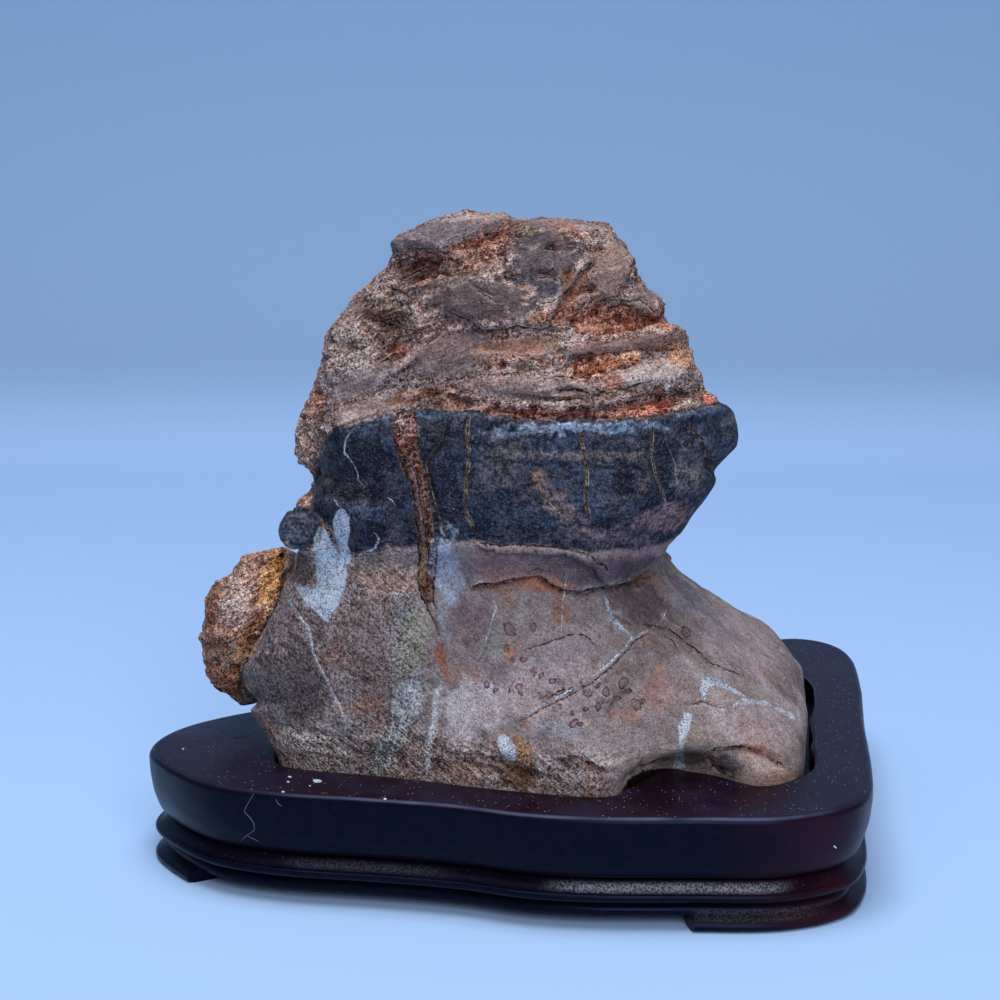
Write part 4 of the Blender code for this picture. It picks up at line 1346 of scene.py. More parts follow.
# Middle across and down, half width, half height, turn in degrees, colour as seen, strength
DABS = {
    "plate_grey": (445, 232, 62, 14, -12, (99, 95, 106), 0.85),
    # Painted highlight along the top edge of the top plate
    "plate_painted_highlight": (470, 217, 45, 4, -4, (158, 154, 162), 0.6),
    "plate_under_orange": (470, 256, 36, 13, -14, (144, 114, 106), 0.7),
    "plate_crack_orange": (430, 254, 24, 4, 4, (140, 92, 70), 0.7),
    "pitted_brown": (416, 268, 32, 13, 2, (84, 68, 66), 0.7),
    "rusty_chip": (432, 280, 18, 5, -16, (132, 92, 76), 0.6),
    "slab_mauve": (475, 300, 60, 22, 8, (71, 62, 68), 0.85),
    "slab_light_edge": (456, 285, 36, 3, -16, (138, 128, 130), 0.5),
    "grey_pink_left": (352, 305, 22, 9, -38, (112, 98, 98), 0.6),
    "olive_pocket": (390, 328, 24, 30, 10, (84, 77, 71), 0.8),
    "olive_light": (392, 300, 18, 14, 0, (106, 98, 96), 0.5),
    "pocket_rust": (397, 350, 14, 7, -24, (134, 84, 58), 0.7),
    "left_rough_light": (350, 375, 40, 24, -28, (130, 120, 125), 0.6),
    "grey_white_left": (350, 336, 28, 13, -42, (138, 131, 132), 0.7),
    "grey_white_low": (356, 352, 26, 7, -42, (134, 126, 128), 0.6),
    "brown_high_left": (367, 312, 15, 11, -42, (86, 68, 64), 0.8),
    "grey_under_pocket": (392, 384, 24, 8, -20, (142, 136, 144), 0.6),
    "left_rough_low": (388, 382, 36, 14, -20, (134, 124, 130), 0.5),
    "left_rust_edge": (312, 396, 12, 26, -20, (164, 120, 102), 0.7),
    "left_tip": (304, 445, 12, 26, 0, (182, 152, 144), 0.7),
    "middle_mauve": (450, 355, 46, 30, 0, (83, 73, 81), 0.65),
    "plate_middle_blue": (545, 262, 38, 34, -20, (65, 63, 74), 0.85),
    "blue_eye": (555, 292, 18, 7, -14, (88, 86, 108), 0.55),
    "yellow_eye": (563, 276, 8, 5, 0, (138, 106, 72), 0.6),
    "orange_above_crack": (545, 318, 22, 8, -10, (132, 86, 62), 0.6),
    "crown_light": (552, 222, 44, 8, 4, (112, 102, 108), 0.6),
    "crown_brown": (512, 222, 12, 8, -30, (104, 80, 74), 0.5),
    "shoulder_light": (605, 236, 14, 14, 30, (124, 114, 116), 0.6),
    "shoulder_tan": (616, 262, 26, 14, 32, (132, 114, 106), 0.55),
    "column_brown": (604, 284, 26, 12, -20, (98, 80, 84), 0.65),
    "right_edge_mauve": (645, 296, 16, 20, 30, (110, 98, 104), 0.5),
    "orange_field": (606, 319, 36, 17, 8, (156, 112, 98), 0.75),
    "orange_diagonal": (566, 300, 10, 34, 28, (136, 88, 64), 0.6),
    "rust_edge": (656, 318, 14, 9, 10, (128, 82, 68), 0.6),
    "orange_left_field": (516, 350, 40, 14, -4, (146, 117, 108), 0.7),
    "tan_wedge": (550, 340, 24, 7, -12, (134, 112, 98), 0.5),
    "ledge_brown": (626, 343, 66, 7, -9, (112, 92, 90), 0.9),
    "ledge_grey_start": (556, 352, 14, 8, 0, (112, 106, 108), 0.6),
    "shelf_orange": (604, 365, 38, 11, -12, (210, 162, 138), 0.85),
    "shelf_yellow": (628, 358, 12, 6, -20, (206, 176, 150), 0.6),
    "shelf_grey": (652, 372, 36, 14, -14, (162, 152, 156), 0.8),
    "shelf_orange_right": (682, 356, 15, 10, 30, (178, 138, 114), 0.8),
    "shelf_tan": (690, 378, 16, 12, 30, (146, 128, 124), 0.5),
    "shelf_low_grey": (560, 382, 44, 8, 2, (134, 120, 122), 0.6),
    "smear": (536, 396, 20, 5, 2, (84, 68, 74), 0.85),
    "yellow_shelf": (578, 402, 26, 4, 0, (124, 104, 98), 0.45),
    "low_brown_right": (636, 394, 34, 4, -4, (104, 82, 84), 0.6),
    "rust_fringe": (420, 396, 34, 7, -12, (126, 88, 74), 0.6),
    "rust_fringe_right": (452, 402, 24, 8, 10, (114, 82, 70), 0.55),
    "low_mauve": (500, 388, 26, 14, 10, (110, 98, 106), 0.55),
    "seam_fire": (650, 408, 26, 6, -8, (204, 126, 110), 0.7),
    "seam_fire_tip": (708, 400, 10, 5, 30, (196, 116, 100), 0.8),
    "seam_tan_gap": (684, 402, 14, 8, -10, (150, 134, 130), 0.7),
    "seam_red": (560, 415, 66, 4, 1, (152, 96, 84), 0.5),
    "seam_dark_left": (520, 410, 40, 4, 1, (110, 62, 58), 0.7),
    "pale_fringe_left": (372, 416, 48, 4, -14, (140, 122, 122), 0.7),
    # Painted highlight along the band's rounded top shelf, from left to right
    "band_top_painted_highlight": (590, 428, 94, 7, -1, (116, 130, 156), 0.8),
    "band_rim_left_highlight": (452, 415, 56, 4, 2, (72, 82, 104), 0.5),
    "band_rim_right_highlight": (700, 412, 30, 5, -14, (92, 104, 128), 0.6),
    "band_left_highlight": (385, 421, 34, 6, -14, (74, 84, 106), 0.6),
    "band_blue": (500, 508, 34, 24, 0, (42, 51, 72), 0.4),
    "band_blue_segment": (558, 480, 20, 30, 0, (48, 56, 76), 0.45),
    "band_blue_low": (618, 510, 26, 17, 10, (50, 58, 78), 0.5),
    "band_olive_line": (580, 456, 78, 5, 0, (100, 94, 96), 0.6),
    "band_olive_left": (500, 462, 26, 22, 10, (76, 76, 84), 0.5),
    "band_olive_right": (690, 470, 18, 34, 14, (96, 94, 100), 0.65),
    "rust_top_pink": (404, 428, 11, 20, 6, (140, 114, 112), 0.75),
    "rust_yellow_left": (421, 565, 3, 26, 0, (164, 118, 70), 0.8),
    "rust_spot": (442, 660, 5, 21, -8, (116, 70, 58), 0.85),
    "trail_light": (433, 728, 5, 46, 8, (146, 138, 140), 0.85),
    "lip_rust": (544, 584, 30, 7, 6, (128, 86, 68), 0.8),
    "lip_rust_left": (500, 583, 28, 3, -6, (138, 84, 72), 0.75),
    "lip_brown_right": (640, 580, 20, 7, -30, (104, 76, 68), 0.8),
    "orange_freckle": (509, 652, 5, 11, 0, (144, 96, 76), 0.6),
    "band_pink_spot": (540, 479, 8, 9, 0, (128, 100, 92), 0.7),
    "band_pink_trail": (564, 508, 10, 34, -42, (96, 84, 92), 0.6),
    "band_red_foot": (664, 518, 32, 13, -16, (116, 92, 98), 0.7),
    "band_purple_foot": (606, 538, 52, 8, 4, (96, 82, 94), 0.65),
    "band_pale_foot": (640, 552, 36, 5, -4, (104, 92, 106), 0.7),
    "band_dark_left": (365, 478, 40, 44, 0, (17, 20, 31), 0.75),
    "band_dark_middle": (448, 484, 22, 52, 0, (26, 31, 48), 0.7),
    "lobe_dark_side": (716, 432, 20, 28, 8, (52, 58, 74), 0.7),
    "blue_streaks": (362, 512, 26, 9, -6, (82, 92, 118), 0.45),
    "neck_grey": (300, 568, 16, 20, 0, (78, 66, 68), 0.9),
    "body_upper_pink": (386, 575, 34, 24, -6, (146, 123, 119), 0.75),
    "body_upper_olive": (372, 562, 16, 8, -20, (96, 90, 86), 0.6),
    "body_left_dark": (290, 680, 44, 44, 0, (66, 61, 66), 0.85),
    "body_left_mauve": (300, 625, 34, 20, 20, (92, 80, 86), 0.7),
    "body_left_rim": (262, 694, 12, 50, -28, (92, 88, 98), 0.6),
    "body_low_left": (306, 746, 42, 16, 4, (140, 134, 138), 0.8),
    "body_olive_left": (352, 618, 20, 18, 20, (112, 108, 104), 0.6),
    "body_brown": (366, 650, 34, 44, 10, (94, 82, 84), 0.7),
    "red_stain_left": (333, 656, 12, 12, 0, (108, 80, 80), 0.5),
    "red_stain_low": (368, 705, 16, 10, -20, (116, 84, 80), 0.6),
    "red_stain_right": (382, 722, 12, 12, 0, (116, 84, 84), 0.5),
    "tan_low": (378, 748, 24, 14, -20, (116, 104, 102), 0.5),
    "blue_spot": (405, 618, 13, 12, 10, (92, 100, 116), 0.6),
    "green_patch": (410, 645, 16, 36, 10, (114, 116, 110), 0.75),
    "vein_side_dark": (462, 606, 12, 16, 0, (80, 68, 78), 0.6),
    # Painted light: a lighter patch that offsets the shade under the overhang above the arch
    "arch_roof_painted_light": (650, 757, 40, 8, -12, (176, 160, 162), 0.8),
    "blue_white_patch": (406, 705, 15, 34, 18, (134, 139, 150), 0.9),
    "blue_low": (386, 752, 13, 26, 14, (122, 129, 138), 0.85),
    "grey_beside_vein": (446, 568, 14, 40, -8, (124, 134, 156), 0.9),
    "grey_beside_vein_low": (444, 622, 7, 22, -12, (110, 118, 136), 0.7),
    "brown_right_of_vein": (468, 625, 22, 24, -8, (92, 80, 90), 0.75),
    "red_upper": (500, 565, 34, 16, 4, (112, 90, 96), 0.65),
    "body_pale": (478, 708, 40, 26, -10, (148, 143, 155), 0.8),
    "body_blue_middle": (566, 655, 34, 16, -20, (122, 116, 128), 0.6),
    "body_pink": (550, 695, 60, 34, -14, (143, 129, 137), 0.6),
    "rust_stripe": (560, 605, 9, 26, 0, (120, 90, 80), 0.75),
    "lip_dark": (604, 570, 32, 14, -8, (72, 63, 74), 0.85),
    "lip_left": (520, 560, 42, 12, 2, (98, 84, 90), 0.6),
    "stain": (640, 606, 34, 22, 10, (80, 68, 74), 0.85),
    "stain_low": (672, 640, 24, 18, 40, (104, 92, 96), 0.6),
    "neck_slate": (690, 596, 26, 22, 40, (124, 122, 136), 0.75),
    "olive_crest": (716, 598, 22, 5, 30, (130, 126, 124), 0.6),
    "slope_pink": (738, 640, 48, 26, 40, (138, 127, 138), 0.7),
    "red_cloud": (656, 692, 20, 16, 10, (138, 106, 106), 0.5),
    "body_low_right": (610, 745, 40, 26, 0, (124, 118, 124), 0.7),
    "foot_pale": (750, 722, 48, 22, 10, (130, 122, 132), 0.7),
    "foot_grey": (700, 745, 16, 20, 0, (122, 114, 116), 0.6),
    # A black painted shadow in the gap under the arch
    "arch_gap_and_painted_shadow": (648, 783, 24, 8, -14, (10, 9, 14), 0.98),
    "foot_olive_spot": (696, 759, 10, 7, 0, (96, 90, 86), 0.85),
    "foot_oval": (745, 764, 42, 15, 8, (132, 122, 126), 0.9),
    "foot_oval_black": (730, 765, 15, 10, 20, (62, 60, 68), 0.8),
    "foot_orange": (784, 776, 20, 7, -4, (108, 86, 81), 0.7),
    "rust_under_nodule": (512, 772, 26, 14, 20, (86, 60, 46), 0.85),
    "rust_ring": (522, 752, 12, 18, -20, (122, 90, 66), 0.7),
    "low_rust": (468, 768, 40, 16, 0, (130, 112, 110), 0.75),
    "low_rust_left": (430, 760, 18, 20, 0, (112, 98, 100), 0.5),
    "blue_grey_under": (560, 730, 24, 10, 10, (118, 122, 138), 0.6),
    "low_grey": (575, 774, 40, 9, 4, (104, 100, 110), 0.6),
    "lobe_yellow": (272, 580, 11, 40, 12, (180, 142, 96), 0.85),
    "lobe_yellow_low": (250, 640, 9, 40, 28, (148, 108, 76), 0.75),
    "lobe_rust_middle": (214, 640, 12, 20, 0, (128, 84, 66), 0.6),
    "lobe_rust_top": (250, 556, 26, 8, -20, (140, 104, 92), 0.6),
    "lobe_rust_left": (212, 606, 8, 28, 6, (104, 66, 52), 0.7),
    "lobe_grey": (236, 606, 18, 26, 10, (152, 138, 138), 0.7),
    "lobe_dark": (222, 650, 20, 16, 0, (108, 84, 70), 0.6),
    "lobe_brown_foot": (222, 684, 26, 14, 20, (136, 94, 68), 0.7),
}
print(len(DABS), "dabs in", len(ZONE_COLOURS), "zones")

# %% Paint the zones and the dabs
def unlit(colour):
    """A stone's own colour, linear, from how it looks in the photograph's light."""
    seen = np.array(colour, float) / 255
    linear = np.where(seen < 0.04045, seen / 12.92, ((seen + 0.055) / 1.055) ** 2.4)
    return linear / LIGHT_SEEN


def paint(points, normals, weights):
    """The broad colour of each point."""
    colour = np.tile(unlit(ZONE_COLOURS["body"]), (len(points), 1))
    wobble = rough(points, 3.0, 3, 101)

    def lay(tone, share):
        colour[:] += (unlit(tone) - colour) * share[:, None]

    for zone, tone in ZONE_COLOURS.items():
        lay(tone, weights[zone])
        for index, (patch, size, share) in enumerate(PATCHES.get(zone, [])):
            cloud = rough(points, size, 3, 110 + 7 * index + len(zone)) + 0.25 * wobble
            lay(patch, 0.85 * weights[zone] * smooth_step(cloud, 0.55 - share, 1.0 - share))
    where = ragged(points, 1.5)
    front = facing(points, normals)
    streaks = rough(np.column_stack([points[:, :2] / 5.0, layer_level(points) / 0.8]), 1.0, 2, 105)
    unrest = (0.34 + 0.1 * weights["cap"]) * wobble + 0.36 * weights["cap"] * streaks
    unrest += (0.3 + 0.3 * weights["band"] + 0.1 * weights["cap"]) * rough(points, 1.3, 2, 107)
    crisp = weights["cap"] + weights["seam"] + weights["rust"] + 0.6 * weights["body"]
    for *place, tone, strength in DABS.values():
        gap = ellipse(where, *place) + unrest
        soft_share, crisp_share = 1 - smooth_step(gap, 0.65, 1.2), 1 - smooth_step(gap, 0.85, 1.05)
        lay(tone, strength * front * (soft_share + (crisp_share - soft_share) * np.clip(crisp, 0, 1)))
    return colour


def paint_colour(mesh, name, colours):
    rgba = np.column_stack([colours, np.ones(len(colours))]).astype(np.float32)
    mesh.attributes.new(name, "FLOAT_COLOR", "POINT").data.foreach_set("color", rgba.ravel())


weights = zones(points, normals)
weights["calm"] = calm_share(points, normals)
colours = paint(points, normals, weights)
paint_colour(rock.data, "stone_colour", colours)
print("mean colour:", colours.mean(0).round(3))

# %% [markdown]
# Veins, cracks and rings need edges that are sharper than the mesh. So the mesh stores only distances, which
# stay exact between its points, and the material turns them into edges. A line is stored as the side of it on
# which a point lies, counted in half widths of the line, and a patch as the distance to its border. White
# quartz and calcite have filled old cracks: some are lines, some whole patches, as below the dark knob.

# %% Veins and cracks to paint
QUARTZ = [
    (318, 527), (324, 526), (329, 537), (336, 551), (342, 557), (339, 547), (335, 535), (333, 522),
    (336, 512), (343, 508), (349, 516), (350, 530), (347, 545), (352, 558), (348, 566), (343, 561),
    (347, 574), (345, 588), (340, 601), (332, 614), (326, 623), (316, 612), (306, 603), (299, 594),
    (296, 586), (304, 587), (312, 590), (318, 586), (316, 572), (315, 552), (314, 538),
]
NODULE = [(498, 736), (506, 734), (513, 742), (517, 752), (516, 760), (508, 760), (502, 754), (497, 744)]
# Border of the black painted shadow in the gap under the arch
ARCH_SHADOW = [
    (620, 800), (623, 789), (629, 780), (638, 774), (650, 770), (664, 768), (678, 769), (690, 771),
    (700, 800),
]
FOOT_VEIN_LOW = [
    (685, 712), (692, 714), (690, 728), (684, 742), (683, 752), (686, 768), (673, 768), (675, 756),
    (679, 744), (679, 726),
]
FOOT_VEIN_TOP = [
    (703, 702), (700, 690), (702, 680), (707, 677), (716, 679), (728, 685), (747, 696), (744, 697),
    (728, 690), (714, 684), (708, 688), (705, 702),
]
# Course and half width in mm
WHITE_VEINS = {
    "band_hair": ([(357, 425), (346, 437), (344, 452), (352, 462), (357, 470), (359, 480),
        (367, 489)], 0.13),
    "band_curl": ([(372, 530), (379, 539), (375, 548), (361, 553), (354, 562)], 0.16),
    "band_flick": ([(332, 496), (338, 505), (344, 514)], 0.16),
    "band_twig": ([(384, 497), (392, 499), (398, 508)], 0.12),
    "band_sprig": ([(443, 506), (452, 508), (462, 511)], 0.1),
    "grey_fan": ([(438, 524), (442, 532), (449, 541)], 0.3),
    "left_thread": ([(284, 596), (296, 610), (309, 629), (313, 652), (326, 679), (340, 707), (346, 725),
        (346, 770)], 0.2),
    "cross_thread": ([(345, 583), (360, 589), (385, 592), (410, 596)], 0.1),
    "lower_thread": ([(330, 668), (345, 674), (356, 679)], 0.1),
    "crumb_vein": ([(603, 591), (606, 600), (608, 609), (614, 620), (622, 629), (632, 636)], 0.3),
    "crumb_side": ([(606, 612), (616, 626), (626, 634)], 0.3),
    "diagonal_upper": ([(589, 680), (610, 664), (625, 648), (631, 640), (651, 628)], 0.2),
    "diagonal_lower": ([(511, 719), (528, 713), (545, 704), (570, 690), (589, 680)], 0.15),
    "stripe_thread": ([(568, 572), (564, 590), (562, 610), (561, 640)], 0.11),
    "left_body_thread": ([(488, 590), (496, 604), (492, 622), (486, 640), (478, 660)], 0.1),
    "slope_curl": ([(668, 600), (664, 616), (658, 626)], 0.1),
    "foot_middle": ([(732, 712), (735, 705), (742, 701), (752, 701), (762, 703), (774, 707)], 0.5),
    "foot_right": ([(762, 703), (776, 708), (788, 715), (799, 722)], 0.42),
    "rust_trail": ([(437, 684), (436, 708), (432, 725), (429, 745), (427, 778)], 0.42),
    "slope_hair": ([(662, 560), (664, 572), (674, 590)], 0.1),
    "slope_thread": ([(660, 615), (672, 624), (684, 630)], 0.09),
}
# Half width in mm of the grooves that are tan inside
TAN_VEINS = {
    "vein_block": 0.12, "vein_470": 0.34, "vein_527": 0.12, "vein_585": 0.32, "vein_651": 0.26,
    "lobe_crack": 0.28, "vein_675": 0.1,
}
# Middle across and down, radius
RINGS = [
    (510, 630, 8), (533, 627, 4.5), (506, 648, 3.5), (524, 660, 4), (512, 660, 3.5), (534, 672, 4.5),
    (542, 675, 3), (553, 681, 4), (519, 688, 5), (521, 693, 3), (549, 695, 4.5), (557, 693, 3.5),
    (541, 697, 3), (563, 690, 3), (571, 690, 3.5), (588, 693, 5.5), (582, 685, 3), (606, 692, 5.5),
    (598, 686, 3), (617, 699, 4), (604, 702, 3.5), (598, 706, 4.5), (611, 706, 3), (586, 709, 3),
    (636, 705, 7), (643, 701, 3), (623, 683, 6.5), (628, 691, 3.5), (560, 706, 2.5), (572, 713, 3),
    (574, 723, 5), (580, 724, 3), (686, 632, 6), (487, 684, 4), (495, 690, 3),
]
print(len(WHITE_VEINS), "white veins,", len(TAN_VEINS), "tan veins and", len(RINGS), "rings")

# %% Store the distances on the mesh
LINE_REACH = 0.5
FAR_OFF = 9.0


def across_lines(lines, where):
    """On which side of the nearest line each point lies, in half widths of it, and how far off in mm."""
    best = np.full(len(where), FAR_OFF)
    across = best.copy()
    for course, half in lines:
        away, side, taper = stroke(course, where)
        away += LINE_REACH * (1 - taper)
        across = np.where(away < best, side * away / half, across)
        best = np.minimum(best, away)
    return np.clip(across, -FAR_OFF, FAR_OFF), best


where = ragged(points, 0.6)
front = facing(points, normals)
white = np.full(len(points), FAR_OFF)
for patch in (QUARTZ, NODULE, FOOT_VEIN_LOW, FOOT_VEIN_TOP):
    white = np.minimum(white, -inside(patch, where))
# Deep gaps are painted black too: the one under the arch is a painted shadow
cracks = [(course, max(0.55 * half, 0.1)) for course, half, rise in LINES.values()
          if rise < -0.3 and (half < 0.45 or rise < -2)]
cracks += [(course, 0.17) for course, rise, _ in STEPS.values() if abs(rise) >= 0.8]
for name, lines in (("vein", WHITE_VEINS.values()), ("crack", cracks),
                    ("tan", [(LINES[name][0], half) for name, half in TAN_VEINS.items()])):
    across, away = across_lines(lines, where)
    paint_number(rock.data, name + "_side", across)
    paint_number(rock.data, name + "_far", away + 2 * (1 - smooth_step(front, 0.1, 0.4)))
ring = np.full(len(points), FAR_OFF)
for index, (across, down, radius) in enumerate(RINGS):
    away = ellipse(where, across, down, radius, 0.62 * radius, 50 + 40 * (index % 4)) - 0.95
    ring = np.minimum(ring, 0.7 * radius * away / PIXELS_PER_MM)
for name, gap in (("white_edge", white), ("ring_edge", ring), ("gap_edge", -inside(ARCH_SHADOW, where))):
    paint_number(rock.data, name, np.where(front > 0.3, gap, np.maximum(gap, 2 - 6 * front)))
print("points within a white vein:", int((white < 0).sum()))

# %% [markdown]
# Hollows get painted shade, with dirt, and ridges are made lighter. To know which is which, compare each
# point with the mean of its neighbours, after passing that mean on a few times: a point that lies behind it
# is in a hollow.

# %% Hollows and ridges
def hollows(mesh, points, normals, rounds):
    """How deep each point lies behind its surroundings, in mm; ridges are negative."""
    edges = np.empty(len(mesh.edges) * 2, np.int32)
    mesh.edges.foreach_get("vertices", edges)
    first, second = edges.reshape(-1, 2).T
    count = np.bincount(first, minlength=len(points)) + np.bincount(second, minlength=len(points))
    calm = points.copy()
    for _ in range(rounds):
        total = np.empty_like(calm)
        for axis in range(3):
            total[:, axis] = (np.bincount(first, calm[second, axis], len(points))
                              + np.bincount(second, calm[first, axis], len(points)))
        calm = 0.5 * calm + 0.5 * total / count[:, None]
    return np.sum((calm - points) * normals, axis=1)


ROUGH_LEFT_GOES = (400, 460)
RUST_COMES_DOWN = (440, 455)

deep = hollows(rock.data, points, normals, 12)
paint_number(rock.data, "hollow", deep)
fall = points[:, 2] + 0.75 * points[:, 0] + 1.2 * swell(points, 16, 141)
paint_number(rock.data, "layer", layer_level(points) + (fall - layer_level(points)) * weights["body"])
paint_number(rock.data, "calm", weights["calm"] * weights["cap"])
paint_number(rock.data, "band", weights["band"] + weights["knob"])
rough_left = weights["body"] * (1 - smooth_step(seen_at(points)[:, 0], *ROUGH_LEFT_GOES)) * front
crusty = weights["cap"] + weights["lobe"] + weights["seam"] + weights["rust"] + 0.7 * broken_foot(points)
crusty += 0.5 * rough_left
rusty = weights["rust"] * smooth_step(where[:, 1], *RUST_COMES_DOWN) + weights["seam"]
paint_number(rock.data, "mask", rough(points, 8.0, 3, 131))
paint_number(rock.data, "rust", rusty)
paint_number(rock.data, "crust", np.clip(crusty, 0, 1))
print("hollows from", deep.min().round(2), "to", deep.max().round(2), "mm")

# %% [markdown]
# The rock's material starts from the painted colour. Unevenness at four sizes breaks it up, harder on the
# crust than on the worn body. On the band the grain turns to pale specks on blue-black. Hollows are darkened
# and ridges lightened, then veins, rings and cracks are laid over. Stone is matt, and only the band has a
# faint gloss.

# %% Rock material
stone = Finish("rock_surface", Roughness=0.86)
stone.shader.inputs["Specular IOR Level"].default_value = 0.08
PAINTED_NAMES = ("crust", "band", "hollow", "calm", "mask", "layer", "rust")
crust, band, hollow, calm, mask, level, rust = (stone.painted(name) for name in PAINTED_NAMES)
off_band = stone.math("SUBTRACT", 1.0, band)
unrest = stone.times(crust, stone.math("SUBTRACT", 1.0, stone.times(calm, 0.8)))
coarse_grain = stone.noise(2.6, 3, 0.68)
fine_grain = stone.noise(0.55, 3, 0.68)
specks = stone.noise(0.27, 1, 0.6)
bedding = stone.noise(1.0, 3, 0.74, stone.stretched(2.6, 2.6, 1.2))
spread = stone.node("ShaderNodeSeparateXYZ", [stone.stretched(6.5, 6.5, 6.5)]).outputs
layered = stone.node("ShaderNodeCombineXYZ", [spread["X"], spread["Y"], stone.math("DIVIDE", level, 0.62)])
streaks = stone.noise(1.0, 3, 0.65, layered.outputs[0])
times, plus, ramp, mix, calc = stone.times, stone.plus, stone.ramp, stone.mix, stone.math


def swing(value, amount):
    """A noise value as a swing round zero, as wide as given."""
    return times(calc("SUBTRACT", value, 0.5), amount)


def by_crust(worn, crusty, zone=crust):
    """A number that is the first on the worn body and the second on the crust."""
    return ramp(zone, 0, 1, worn, crusty)


def tinted(colour, factors):
    """A colour, stronger or weaker in red, green and blue."""
    return stone.vector("MULTIPLY", colour, factors)


def near_middle(value, middle, wide, narrow):
    """1 where a noise value is close to its middle, which draws thin winding lines."""
    return ramp(calc("ABSOLUTE", calc("SUBTRACT", value, middle)), wide, narrow)


print("painted numbers and unevenness:", len(stone.tree.nodes), "nodes so far")

# %% [markdown]
# The grain itself comes first. All four unevennesses add up to one tone, and the stone's colour is multiplied
# by it. Blue and green fall faster than red, so the dark grains are warm, as they are in iron-stained stone.

# %% Grain
grit = ramp(fine_grain, 0.38, 0.62, -0.5, 0.5)
tone = plus(1.0, swing(coarse_grain, 1.0), swing(fine_grain, by_crust(1.1, 2.0, unrest)),
            swing(streaks, by_crust(0.6, 2.1, unrest)), swing(specks, by_crust(1.2, 3.2, unrest)),
            times(grit, ramp(unrest, 0, 0.6, 0.05, 0.6)))
tone = calc("MAXIMUM", tone, 0.15)
warm_dark = [calc("POWER", tone, power) for power in (1.1, 1.3, 1.35)]
shade = stone.node("ShaderNodeCombineXYZ", warm_dark).outputs[0]
grained = tinted(stone.painted("stone_colour", "Color"), shade)

band_specks = times(ramp(specks, 0.55, 0.72), band, 0.4)
grained = mix(band_specks, grained, (0.15, 0.18, 0.24))
depth = times(plus(bedding, fine_grain), 0.5)
bedded = times(ramp(depth, 0.52, 0.62), band, 0.45)
grained = mix(bedded, grained, tinted(grained, (2.1, 2.1, 2.0)))
darkened = times(ramp(depth, 0.53, 0.43), band, 0.8)
grained = mix(darkened, grained, tinted(grained, (0.12, 0.16, 0.24)))
web = times(near_middle(bedding, 0.5, 0.012, 0.004), band, ramp(mask, -0.1, 0.4, 0, 0.8))
grained = mix(web, grained, (0.15, 0.105, 0.085))
dark_specks = times(ramp(specks, 0.40, 0.28), off_band, by_crust(0.32, 0.6))
grained = mix(dark_specks, grained, (0.085, 0.042, 0.034))
crackle = times(near_middle(coarse_grain, 0.48, 0.012, 0.003), off_band,
                ramp(mask, 0.3, -0.3, 0.0, by_crust(0.4, 0.9, unrest)))
grained = mix(crackle, grained, (0.06, 0.030, 0.024))

pale_grains = times(rust, ramp(fine_grain, 0.52, 0.58, 0.0, 0.6))
grained = mix(pale_grains, grained, (0.29, 0.18, 0.145))
dark_grains = times(rust, ramp(fine_grain, 0.48, 0.42, 0.0, 0.8))
grained = mix(dark_grains, grained, (0.03, 0.012, 0.009))
print("grain:", len(stone.tree.nodes), "nodes so far")

# %% [markdown]
# Weather works on top of the grain: small holes, splits along the layers and an orange halo in the hollows.
# The hollows also get painted shade with dirt, and the ridges a lighter tone.

# %% Holes, painted shade and dirt in hollows, lighter ridges
hole_away, hole_chance = stone.cells(0.95)
hole = times(ramp(hole_away, 0.24, 0.12), ramp(hole_chance, 0.55, 0.6), by_crust(0.15, 0.85))
grained = mix(hole, grained, (0.03, 0.02, 0.018))
halo = times(ramp(hollow, 0.03, 0.2), ramp(coarse_grain, 0.38, 0.62, 0.05, 0.5), crust)
grained = mix(halo, grained, tinted(grained, (1.22, 0.87, 0.73)))
split = times(near_middle(streaks, 0.45, 0.018, 0.006), ramp(unrest, 0.1, 1, 0.4, 1.0),
              ramp(mask, -0.35, 0.1), crust, 0.85)
grained = mix(split, grained, (0.035, 0.018, 0.014))
# Painted shade in the hollows, with dirt, darkens and warms them
hollow_shade_and_dirt = times(ramp(hollow, 0.14, 0.5), by_crust(0.5, 0.8))
grained = mix(hollow_shade_and_dirt, grained, tinted(grained, (0.42, 0.28, 0.24)))
# Ridges are made lighter
lighter_ridges = times(ramp(hollow, -0.05, -0.28), 0.5)
grained = mix(lighter_ridges, grained, tinted(grained, (1.4, 1.4, 1.4)))
print("weather:", len(stone.tree.nodes), "nodes so far")

# %% [markdown]
# Now the painted distances become edges. The grain is added to each distance before it is cut off, so that a
# vein wanders and its width changes with the stone it runs through.

# %% Veins, rings and cracks
def edge_share(name, wander):
    """1 within a painted border, 0 outside, with an edge that the grain makes wander."""
    gap = plus(stone.painted(name), swing(fine_grain, 0.5 * wander))
    return ramp(gap, 0.1, -0.1)


def line_share(name, wander, ragged_by):
    """1 on a painted line, 0 beside it, and 1 on its rim. The grain changes its course and its width."""
    side = plus(stone.painted(name + "_side"), swing(coarse_grain, wander), swing(fine_grain, 0.5 * wander))
    width = plus(calc("ABSOLUTE", side), swing(fine_grain, ragged_by))
    near = ramp(stone.painted(name + "_far"), 0.6, 0.4)
    return times(near, ramp(width, 1.25, 0.8)), times(near, ramp(side, -3.0, -1.6))


faded = ramp(coarse_grain, 0.40, 0.54)
tan_share = times(line_share("tan", 3.0, 4.0)[0], ramp(faded, 0, 1, 0.6, 1.0))
tan_tone = mix(faded, (0.17, 0.085, 0.055), (0.36, 0.28, 0.21))
tan_tone = mix(ramp(fine_grain, 0.40, 0.6), tinted(tan_tone, (0.25, 0.25, 0.25)), tan_tone)
grained = mix(tan_share, grained, tan_tone)

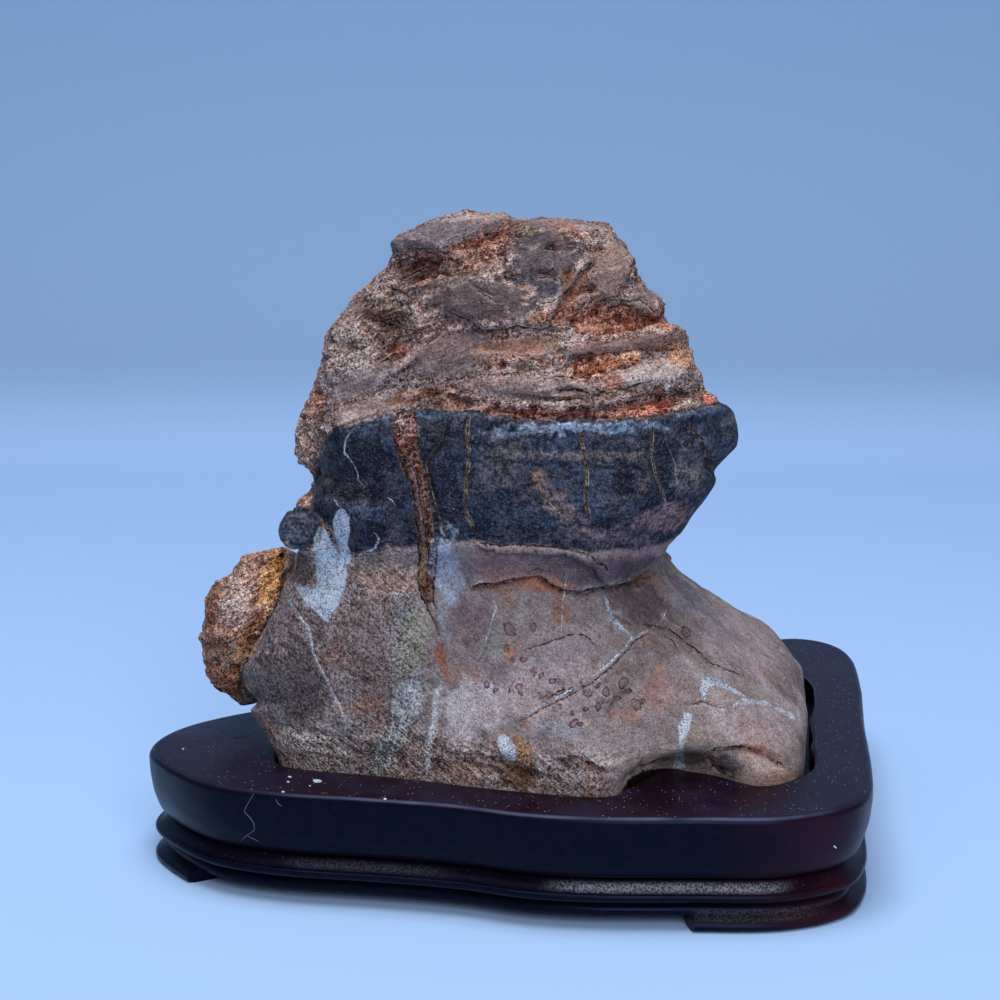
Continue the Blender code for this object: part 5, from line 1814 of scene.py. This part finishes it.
ring_gap = plus(stone.painted("ring_edge"), swing(fine_grain, 0.9))
ring_fill = times(ramp(ring_gap, 0.08, -0.08), 0.6)
grained = mix(ring_fill, grained, tinted(grained, (0.75, 0.50, 0.50)))
ring_share = times(near_middle(ring_gap, 0.0, 0.17, 0.05), ramp(coarse_grain, 0.40, 0.52, 0.35, 0.9))
grained = mix(ring_share, grained, (0.045, 0.024, 0.026))

white_tone = mix(ramp(coarse_grain, 0.40, 0.60), (0.26, 0.30, 0.35), (0.58, 0.60, 0.62))
white_tone = mix(ramp(fine_grain, 0.50, 0.40, 0, 0.8), white_tone, (0.15, 0.14, 0.16))
white_tone = mix(ramp(specks, 0.50, 0.60, 0, 0.8), white_tone, (0.74, 0.80, 0.86))
threads = times(line_share("vein", 4.0, 6.0)[0], ramp(coarse_grain, 0.42, 0.56, 0.5, 1.0),
                ramp(specks, 0.38, 0.50, 0.4, 1.0))
white_share = calc("MAXIMUM", edge_share("white_edge", 1.4), threads)
grained = mix(times(white_share, 0.95), grained, white_tone)

crack_share, crack_rim = line_share("crack", 9.0, 5.0)
grained = mix(times(crack_rim, crust, 0.3), grained, (0.40, 0.34, 0.33))
crack_share = times(crack_share, ramp(coarse_grain, 0.38, 0.52, 0.5, 0.95))
grained = mix(crack_share, grained, (0.018, 0.010, 0.008))
# The gap under the arch is painted near black: a painted shadow
grained = mix(times(edge_share("gap_edge", 0.6), 0.95), grained, (0.004, 0.003, 0.004))

relief = plus(fine_grain, times(streaks, by_crust(0.1, 1.3)))
stone.set(Base_Color=grained, Roughness=ramp(band, 0, 1, 0.88, 0.62),
          Normal=stone.bump(times(relief, by_crust(0.6, 1.3)), 0.6))
print("rock material:", len(stone.tree.nodes), "nodes")

# %% [markdown]
# The carved rock takes the place of the plain one in the same way. All its edges are shaded smooth: what is
# sharp on it is sharp in the mesh.

# %% Fit the rock on the model
rock.data.transform(TO_MODEL)
rock.data.materials.clear()
rock.data.materials.append(stone.material)
rock.data.shade_smooth()
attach(rock, "root")
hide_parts("stone")
print(rock.name, "takes the place of stone")

# %% [markdown]
# Both boxes are gathered in metres, and their sizes are printed in millimetres.

# %% Compare the boxes
finished_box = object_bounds()
boxes = {name: [[float(value) for value in corner] for corner in box]
         for name, box in (("cad_box", cad_box), ("finished_box", finished_box))}
for name, (low, high) in boxes.items():
    print(name, [round(1000 * (b - a), 2) for a, b in zip(low, high)], "mm")
